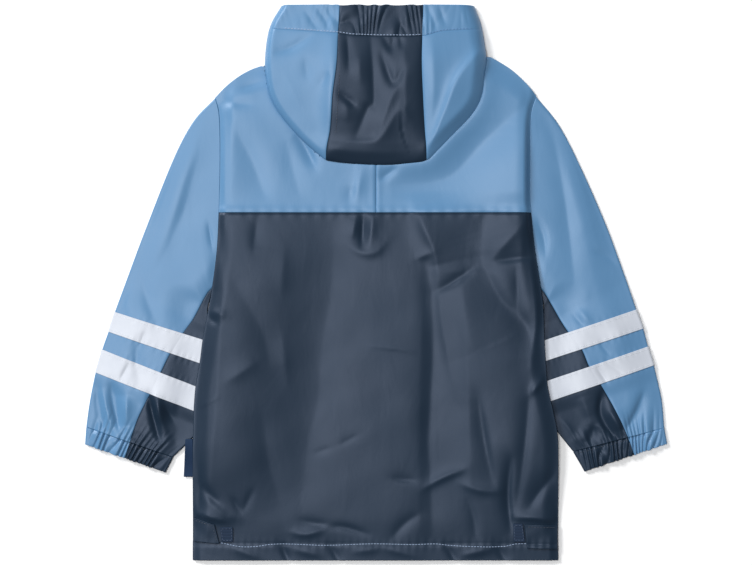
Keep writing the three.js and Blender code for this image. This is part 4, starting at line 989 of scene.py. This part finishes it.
# Cuffs: the sleeve's ends gathered on an elastic
cuffEnds = {1: (306, -168.8, 219, -198), -1: (305.8, -169.4, 221, -199)}
cuff = {"edge": 3.4, "middle": 4.6, "depth": 3.3, "underDepth": 0.5, "rows": 11, "edgeEase": 9.0,
        "length": 18.0, "seamDip": 0.5, "seamReach": 0.8, "topPull": 1.1, "topReach": 0.12, "endPull": 0.35,
        "endReach": 0.1, "scallop": 0.7, "threadLift": 0.05,
        "flats": {"LeftOuter": (0.086, 0.023), "LeftUnder": (0.086, 0.023),
                  "RightOuter": (0.074, 0.023), "RightUnder": (0.124, 0.023)}}
cuffCells = {"outerTop": endCells(110, 0.006), "innerTop": endCells(110, 0.006), "bottom": endCells(40)}
cuffRuns = {"outer": [], "inner": []}
for sign, side in sides:
    top = [float(curve(1)) for curve in sleeveCurve[sign][:4]]
    walls = {"outer": ([], []), "inner": ([], [])}
    for share in np.concatenate([[0, 0.02], np.linspace(0, 1, cuff["rows"])[1:-1], [0.98, 1]]):
        down = mix(coat["seamGap"] / cuff["length"], 1, share)
        ends = [mix(a, b, down) for a, b in zip(top, cuffEnds[sign])]
        width = math.hypot(ends[0] - ends[2], ends[1] - ends[3])
        radius, seam = cuff["edge"] / 2, width * float(sleeveCurve[sign][4](1))

        def waveAt(a, seed):
            return gatherWave(a, width, cuffLean[sign] * share, seed)

        def insideAt(a):
            return smooth(0, cuff["edgeEase"], a - radius) * smooth(0, cuff["edgeEase"], width - radius - a)

        def cuffTop(a):
            # upper side: the gathers swell from the edges, and the two seams round the cuff and the one
            # along it pull them down
            seamDrop = cuff["seamDip"] * np.exp(-np.abs(a - seam) / cuff["seamReach"])
            pull = (cuff["topPull"] * np.exp(-(share / cuff["topReach"]) ** 2)
                    + cuff["endPull"] * np.exp(-((1 - share) / cuff["endReach"]) ** 2))
            swell = cuff["middle"] - cuff["edge"] + cuff["depth"] * (waveAt(a, 1.7 + sign) - 0.5) - pull
            return cuff["edge"] + insideAt(a) * swell - seamDrop

        def cuffBottom(a):
            # underside: it touches the floor at its gathers, and lies a little off it between them
            return insideAt(a) * cuff["underDepth"] * (1 - waveAt(a, 2.9 - sign))

        for key, loop in panelLoops(width, seam, cuff["edge"], 0, cuffTop, cuffBottom, cuffCells).items():
            for store, distance in zip(walls[key], (0, -coat["elasticCloth"])):
                moved = offsetLoop(loop, distance)
                across = moved[:, 0] / width
                lump = cuff["scallop"] * share * share * (waveAt(moved[:, 0], 1.7 + sign) - 0.5)
                store.append(np.stack([
                    sign * mix(ends[0], ends[2], across),
                    mix(ends[1], ends[3], across) - coat["seamGap"] - lump, moved[:, 1]], axis=1))
    underCount = len(cuffCells["bottom"]) + turnPoints + 2
    for key, end, finish, onTop in (("outer", "Outer", blue, slice(underCount, -2)),
                                    ("inner", "Under", navy, slice(2, -underCount))):
        outer, inner = (np.array(wall) for wall in walls[key])
        clothPiece(f"cuff{side}{end}", [wallShell(outer, inner)], finish)
        cuffRuns[key].append(outer[2, onTop] + [0, 0, cuff["threadLift"]])
print("cuffs ready")

# Hood: a skin over its folded layers, high at the back and rolled in at its outline
hoodSettings = {"step": 2.2, "seamDip": 0.55, "seamReach": 1.1, "rollLeft": 8.0, "rollRight": 17.0,
                "rollBottom": 14.0, "fall": 0.5, "faceFall": 0.16, "waver": 0.22, "waverSize": 40.0}
hoodFolds = [
    (-1.5, 4, 5, [(-104, 241), (-87, 246), (-68, 258)]),
    (-1.0, 5, 6, [(-74, 235), (-71, 211)]),
    (-1.0, 5, 6, [(-51, 220), (-58, 204)]),
    (-1.2, 2.5, 3.5, [(-62, 287), (-54, 276), (-47, 262)]),
    (-1.0, 2.5, 3, [(-52, 289), (-45, 276), (-41, 268)]),
    (-0.9, 2.5, 3, [(-74, 284), (-66, 272), (-60, 263)]),
    (0.9, 12, 10, [(-98, 222), (-80, 186), (-62, 160)]),
    (4.2, 6, 30, [(116, 247), (102.9, 235.7), (84.6, 211.6), (73.1, 182.2), (56, 139)]),
    (1.3, 7, 8, [(58, 255), (60, 200), (57, 165)]),
    (-1.1, 3, 3, [(54, 288), (59, 276), (62, 264)]),
    (-0.9, 3, 3, [(66, 288), (72, 270)]),
    (3.5, 10, 62, [(-46, 262), (-47, 200), (-50, 146)]),
    (-1.8, 5, 7, [(-5.7, 256.7), (-2.4, 191.6), (-8.9, 182.2), (-20.5, 153.8)]),
    (-1.5, 3.5, 4.5, [(-30.5, 257), (-29, 240), (-28.4, 222)]),
    (-1.1, 2.6, 3.2, [(7.4, 256), (16.8, 241)]),
    (-1.1, 2.6, 3.2, [(17.3, 256), (17.3, 243)]),
    (-1.0, 2.6, 3.2, [(25.2, 256), (27.3, 245)]),
    (-1.7, 4, 4.5, [(5.3, 239), (17.9, 208.4), (29.4, 224)]),
    (1.7, 8, 9, [(30.5, 220), (15, 190), (1, 150)]),
    (1.0, 8, 8, [(-18, 238), (-16, 206)]),
    (1.0, 8, 8, [(-31, 190), (-30, 168)]),
    (-1.6, 3, 4.5, [(-38.4, 198), (-20.4, 183)]),
    (1.9, 20, 6, [(-48, 147.5), (-22, 146.5), (-1, 147.5), (9.5, 157), (25, 181), (37, 168)]),
    (1.5, 7, 18, [(29, 254), (31, 205), (31, 160)]),
    (-1.4, 5, 5, [(48, 256), (48, 205), (51, 150)]),
]


def hoodFloor(x, y):
    # what the hood lies on: the yoke up to the neckline, and the hood's own front parts past it
    neckline = bySide(backTopLine, x, np.minimum(117, np.abs(x)))
    return mix(hood["yokeTop"], hood["tableTop"], smooth(neckline + 1.5, neckline + 13, y))


def hoodHeight(x, y, folds=True):
    # the dome, rolled in at its outline as a quarter round, its folds, and the dips where it is sewn
    inset = hoodInset(x, y)
    roll = mix(hoodSettings["rollLeft"], hoodSettings["rollRight"], smooth(-70, 80, x))
    roll = roll + hoodSettings["rollBottom"] * (1 - smooth(132, 168, y)) * (1 - smooth(28, 58, np.abs(x)))
    fall = hoodSettings["faceFall"] * smooth(225, 285, y) + hoodSettings["fall"] * smooth(140, 240, 380 - y)
    peak = hood["yokeTop"] + hood["dome"] * (1 - fall) + hood["crown"] * smooth(10, 50, inset)
    height = mix(hoodFloor(x, y), peak, np.sqrt(1 - (1 - np.clip(inset / roll, 0, 1)) ** 2))
    if not folds:
        return height
    fromSeams = [(1, x + hoodCentre[-1](y)), (1, x - hoodCentre[1](y)), (0.5, y - casingSeam(x))]
    seams = sum(weight * np.exp(-np.abs(away) / hoodSettings["seamReach"]) for weight, away in fromSeams)
    relief = foldRelief(hoodFolds, x, y) + hoodSettings["waver"] * wander(x, y, hoodSettings["waverSize"])
    return height + relief * smooth(2, 14, inset) - hoodSettings["seamDip"] * seams * smooth(0, 6, inset)


def casingHeight(x, y):
    # gathers on an elastic: round lumps with narrow valleys that lean both ways, most on the navy centre
    down = np.clip((hood["top"] - y) / (hood["top"] - casingSeam(x)), 0, 1)
    onCentre = mix(0.14, 1, 1 - smooth(40, 62, np.abs(x - 4)))
    amount = onCentre * (0.35 + 0.65 * np.sin(np.pi * mix(0.1, 0.9, down)))
    phase = x / 8.8 + 0.8 * np.sin(x / 7.6 + 0.8) + 1.15 * down * np.sin(x / 10.5 + 1)
    lumps = np.abs(np.sin(np.pi * phase)) ** 0.6 * (0.62 + 0.38 * np.sin(x / 5.3 + 5 * down))
    return softMax(hoodHeight(x, y) - 0.9 + 2.3 * amount * (lumps - 0.25), 1.6, 0.2)


for sign, side in sides:
    down, inwards = np.meshgrid(stations(130, hoodSettings["step"]), stations(75, 1.8) ** 1.5, indexing="ij")
    seamIn, seamOut = casingSeam(sign * 45.0) - halfGap, casingSeam(sign * 112.0) - halfGap
    innerY, outerY = mix(seamIn, 129.0, down), mix(seamOut, 130.5, down)
    x = mix(hoodSide[sign](outerY), hoodCentre[sign](innerY) + halfGap, inwards)
    bend = casingSeam(sign * x) - halfGap - mix(seamOut, seamIn, inwards)
    grid = grow(sign * x, mix(outerY, innerY, inwards) + bend * (1 - down) ** 2, hoodHeight)
    clothPiece(f"hoodSide{side}", foldedWall(grid, coat["cloth"]), blue)

up, across = np.meshgrid(stations(130, hoodSettings["step"]) ** 1.35, stations(100, 1.9), indexing="ij")
topY = casingSeam(mix(-40, 48, across)) - halfGap
guessY = mix(hoodBottom(mix(-50, 50, across)), topY, up)
x = mix(halfGap - hoodCentre[-1](guessY), hoodCentre[1](guessY) - halfGap, across)
grid = grow(x, mix(hoodBottom(x), topY, up), hoodHeight)
clothPiece("hoodCentre", foldedWall(grid, coat["cloth"]), navy)


def casingPiece(name, columns, xAt, finish):
    # one piece of the face edge's elastic casing, from its ruffled edge down to its seam
    down, across = np.meshgrid(stations(30, 1.9), columns, indexing="ij")
    guessX = xAt(across, hood["top"] - 28)
    ruffle = 0.9 * (0.5 + 0.5 * np.sin(guessX / 2.9 + 1.4 * np.sin(guessX / 8)))
    ruffle = ruffle * (1 - smooth(38, 60, np.abs(guessX)))
    y = mix(hood["top"] - ruffle, casingSeam(guessX) + 0.02, down)
    grid = grow(xAt(across, y), y, casingHeight)
    clothPiece(name, foldedWall(grid, coat["elasticCloth"]), finish)


casingPiece("hoodCasingCentre", stations(90, 0.85),
            lambda share, y: mix(halfGap - hoodCentre[-1](y), hoodCentre[1](y) - halfGap, share),
            navy)
for sign, side in sides:
    casingPiece(f"hoodCasing{side}", stations(65, 1.1) ** 1.5,
                lambda share, y: sign * mix(hoodSide[sign](y), hoodCentre[sign](y) + halfGap, share),
                blue)

# Folded layers inside the hood: four plies that part a little along the face edge
layerSettings = {"plies": 4, "clear": 1.9, "air": 0.35, "columns": 61, "rows": 61, "underSkin": 3.2,
                 "underCasing": 2.2, "least": 1.3}
shares = np.linspace(-1, 1, layerSettings["columns"])
up, across = np.meshgrid(np.linspace(0, 1, layerSettings["rows"]),
                         np.sign(shares) * (1 - (1 - np.abs(shares)) ** 1.5), indexing="ij")
clear = layerSettings["clear"]
bottomY = hoodBottom(48 * across) + clear * 1.2
y = mix(bottomY, hood["top"] - 0.4, up)
edge = np.where(across < 0, hoodSide[-1](y), hoodSide[1](y)) - clear * 1.4
x = across * np.minimum(edge, 52 + (y - bottomY) * 0.9)
floor = hoodFloor(x, y) + 0.05
skin = hoodHeight(x, y, False) - layerSettings["underSkin"]
skin = skin - layerSettings["underCasing"] * smooth(246, 256, y)
roundness = np.sqrt(1 - (1 - np.clip((hoodInset(x, y) - clear) / hood["dome"], 0, 1)) ** 2)
least = floor + layerSettings["least"]
lid = np.maximum(least, mix(least, skin, roundness))
plies = []
count = layerSettings["plies"]
for k in range(count):
    low = mix(floor, lid, k / count)
    high = np.maximum(mix(floor, lid, (k + 1) / count) - layerSettings["air"] * (k + 1 < count), low + 0.06)
    waver = 0.8 * np.sin(x / (13 + 3 * k) + 2 * k) * smooth(0.93, 1, up) - 0.9 * k * smooth(0.9, 1, up)
    plies.append(wallShell(*(np.stack([x, y + waver, z], axis=-1) for z in (high, low))))
clothPiece("hoodLayers", plies, blue,
           node="hood_core")

# Front parts of the hood, flat on the surface between the front neckline and the face edge
for sign, side in sides:
    v, u = np.meshgrid(stations(105, 4.0), stations(110, 4.0), indexing="ij")
    topY, reach = hood["top"] - 3, 110

    def neckAt(x):
        return frontTopLine[sign](x) + 0.8

    def edgeX(y):
        return hoodSide[sign](y) - 4

    def lowerEdge(share):
        x = mix(halfGap, reach, share)
        return pair(x, neckAt(x))

    def sideLine(share):
        y = mix(neckAt(reach), topY, share)
        return pair(mix(reach, edgeX(y), smooth(0, 0.25, share)), y)

    x, y = edgePatch(
        lowerEdge, lambda share: pair(mix(halfGap, edgeX(topY), share), topY),
        lambda share: pair(halfGap, mix(neckAt(halfGap), topY, share)), sideLine, u, v)
    under = grow(sign * x, y, lambda x, y: 0 * x)
    clothPiece(f"hoodFront{side}", floorWall(under), blue)
print("hood ready")

# Trims: the ends of the hem belt, their grip patches, and a bare tag caught in the side seam
trims = {
    # corners from the upper left on round, thickness, finish, flat size, and the solid
    "hemStrapLeft": ([(-191.6, -247), (-169.5, -254), (-164.6, -274), (-190.8, -271.4)],
                     1.5, navy, (0.026, 0.023), "hem_strap_left"),
    "hemStrapRight": ([(156, -254), (190.6, -255.2), (190.2, -279.6), (159, -279)],
                      1.5, navy, (0.034, 0.026), "hem_strap_right"),
    "gripPatchLeft": ([(-163.6, -257.2), (-150.4, -256.6), (-150.2, -271.6), (-161.4, -272)],
                      1.2, grip, (0.0135, 0.0155), "hem_patch_left"),
    "gripPatchRight": ([(144.2, -253), (153.6, -253.2), (156.2, -272), (144.8, -272.2)],
                       1.2, grip, (0.0115, 0.0195), "hem_patch_right"),
}
trimSettings = {"lift": 0.4, "step": 1.1, "threadLift": 0.12, "areaShare": 0.93}
trimRuns = {"strap": [], "patch": []}
for name, (corners, thickness, finish, flat, node) in trims.items():
    upperLeft, upperRight, lowerRight, lowerLeft = np.array(corners, float)
    isStrap = "Strap" in name

    def spotAt(v, u):
        v, u = v[..., None], u[..., None]
        spot = mix(mix(upperLeft, upperRight, u), mix(lowerLeft, lowerRight, u), v)
        return spot[..., 0], spot[..., 1]

    def trimHeight(x, y):
        return backHeight(x, y) + trimSettings["lift"] + thickness

    step = trimSettings["step"]
    x, y = spotAt(*np.meshgrid(stations(24, step), stations(28, step), indexing="ij"))
    bow = 0.25 * np.sin(x / 5 + 2) * np.sin(y / 4) if isStrap else 0.05 * np.sin(x + y)
    grid = np.stack([x, y, trimHeight(x, y) + bow], axis=-1)
    clothPiece(name, fallingWall(grid, thickness), finish,
               node=node)
    border = np.array([(0.09, 0.08), (0.09, 0.92), (0.91, 0.92), (0.91, 0.08), (0.09, 0.08)])
    if isStrap:
        border = border[[0, 1]] if "Right" in name else border[[0, 1, 2]]
    for start, end in zip(border, border[1:]):
        part = mix(start, end, np.linspace(0, 1, 9)[:, None])
        x, y = spotAt(part[:, 0], part[:, 1])
        run = np.column_stack([x, y, trimHeight(x, y) + trimSettings["threadLift"]])
        trimRuns["strap" if isStrap else "patch"].append(run)

tag = {"from": 192.35, "reach": 9.5, "top": -164.5, "bottom": -204.0, "thickness": 1.2, "lift": 1.9,
       "curl": 0.9}
y, across = np.meshgrid(mix(tag["top"], tag["bottom"], stations(40, 1.1)), stations(9, 0.8), indexing="ij")
spread = mix(tag["reach"] - 2.5, tag["reach"], (tag["top"] - y) / (tag["top"] - tag["bottom"]))
curl = tag["curl"] * across ** 2 * (0.6 + 0.4 * np.sin(y / 6))
z = frontLift(np.full(y.shape, -192.0), y) + tag["lift"] + curl
grid = np.stack([-(tag["from"] + spread * across), y, z], axis=-1)
clothPiece("sideTag", fallingWall(grid, tag["thickness"]), woven)
print("trims ready")

# Sewing that shows
hemLine = cubicCurve([(-190, -272.6), (-164.3, -273.1), (-148.3, -276.3), (-138.8, -277.4), (-125.5, -277),
                      (-112, -275.1), (-94.6, -274.5), (-52.5, -275.9), (-3, -274.3), (38.9, -275.1),
                      (63, -274.5), (74.6, -275.8), (101.9, -277.2), (133.4, -277.2), (146.5, -274.6),
                      (156, -274.2)], 1)


def sewnRun(x, y, heightAt, lift):
    # a run of sewing, lifted a little off the surface
    return np.column_stack([x, y, heightAt(x, y) + lift])


hemX = np.linspace(-163, 158, 320)
hemRun = sewnRun(hemX, hemLine(hemX), backHeight, 0.12)
casingRun, casingRightRun = (sewnRun(x, casingSeam(x) + 1.4, casingHeight, 0.1)
                             for x in (np.linspace(-96, 47, 150), np.linspace(52, 100, 50)))
stripY = np.linspace(218, 156, 60)
stripRun = sewnRun(mix(-37.8, -42.0, (218 - stripY) / 62), stripY, hoodHeight, 0.1)
sewing = {
    # runs, thread, slot, pitch, length and radius of a stitch
    "hemStitches": ([hemRun], paleThread, "blue_coated_cloth", 3.1, 2.3, 0.32),
    "casingStitches": ([casingRun], paleThread, "blue_coated_cloth", 3.4, 2.3, 0.36),
    "hoodStitches": ([casingRightRun], blueThread, "blue_coated_cloth", 3.4, 2.3, 0.32),
    "stripStitches": ([stripRun, *trimRuns["strap"]], navyThread, "navy_coated_cloth", 3.2, 2.3, 0.3),
    "patchStitches": (trimRuns["patch"], dullThread, "navy_coated_cloth", 2.8, 2.0, 0.2),
    "tapeStitches": (tapeRuns, whiteThread, "reflective_tape", 3.0, 2.2, 0.17),
    "cuffStitches": (cuffRuns["outer"], blueThread, "blue_coated_cloth", 3.2, 2.3, 0.26),
    "cuffUnderStitches": (cuffRuns["inner"], navyThread, "navy_coated_cloth", 3.2, 2.3, 0.26),
}
for name, columns in sewing.items():
    stitchRow(name, *columns)
print("sewing ready")

# Floor: a plain pale sheet that reaches out of the picture
floorMaterial, floorTree = newMaterial("paleBackdropPaper")
finishMaterial(floorTree, {"Base Color": linear("#ffffff"), "Roughness": 0.9})
half, level = 4000.0, -0.4
floorPoints = np.array([(x * half, y * half, level) for x, y in ((-1, -1), (1, -1), (1, 1), (-1, 1))])
floorObject = addMesh("floor", floorPoints, [[0, 1, 2, 3]], floorMaterial, False)

print("finishing")
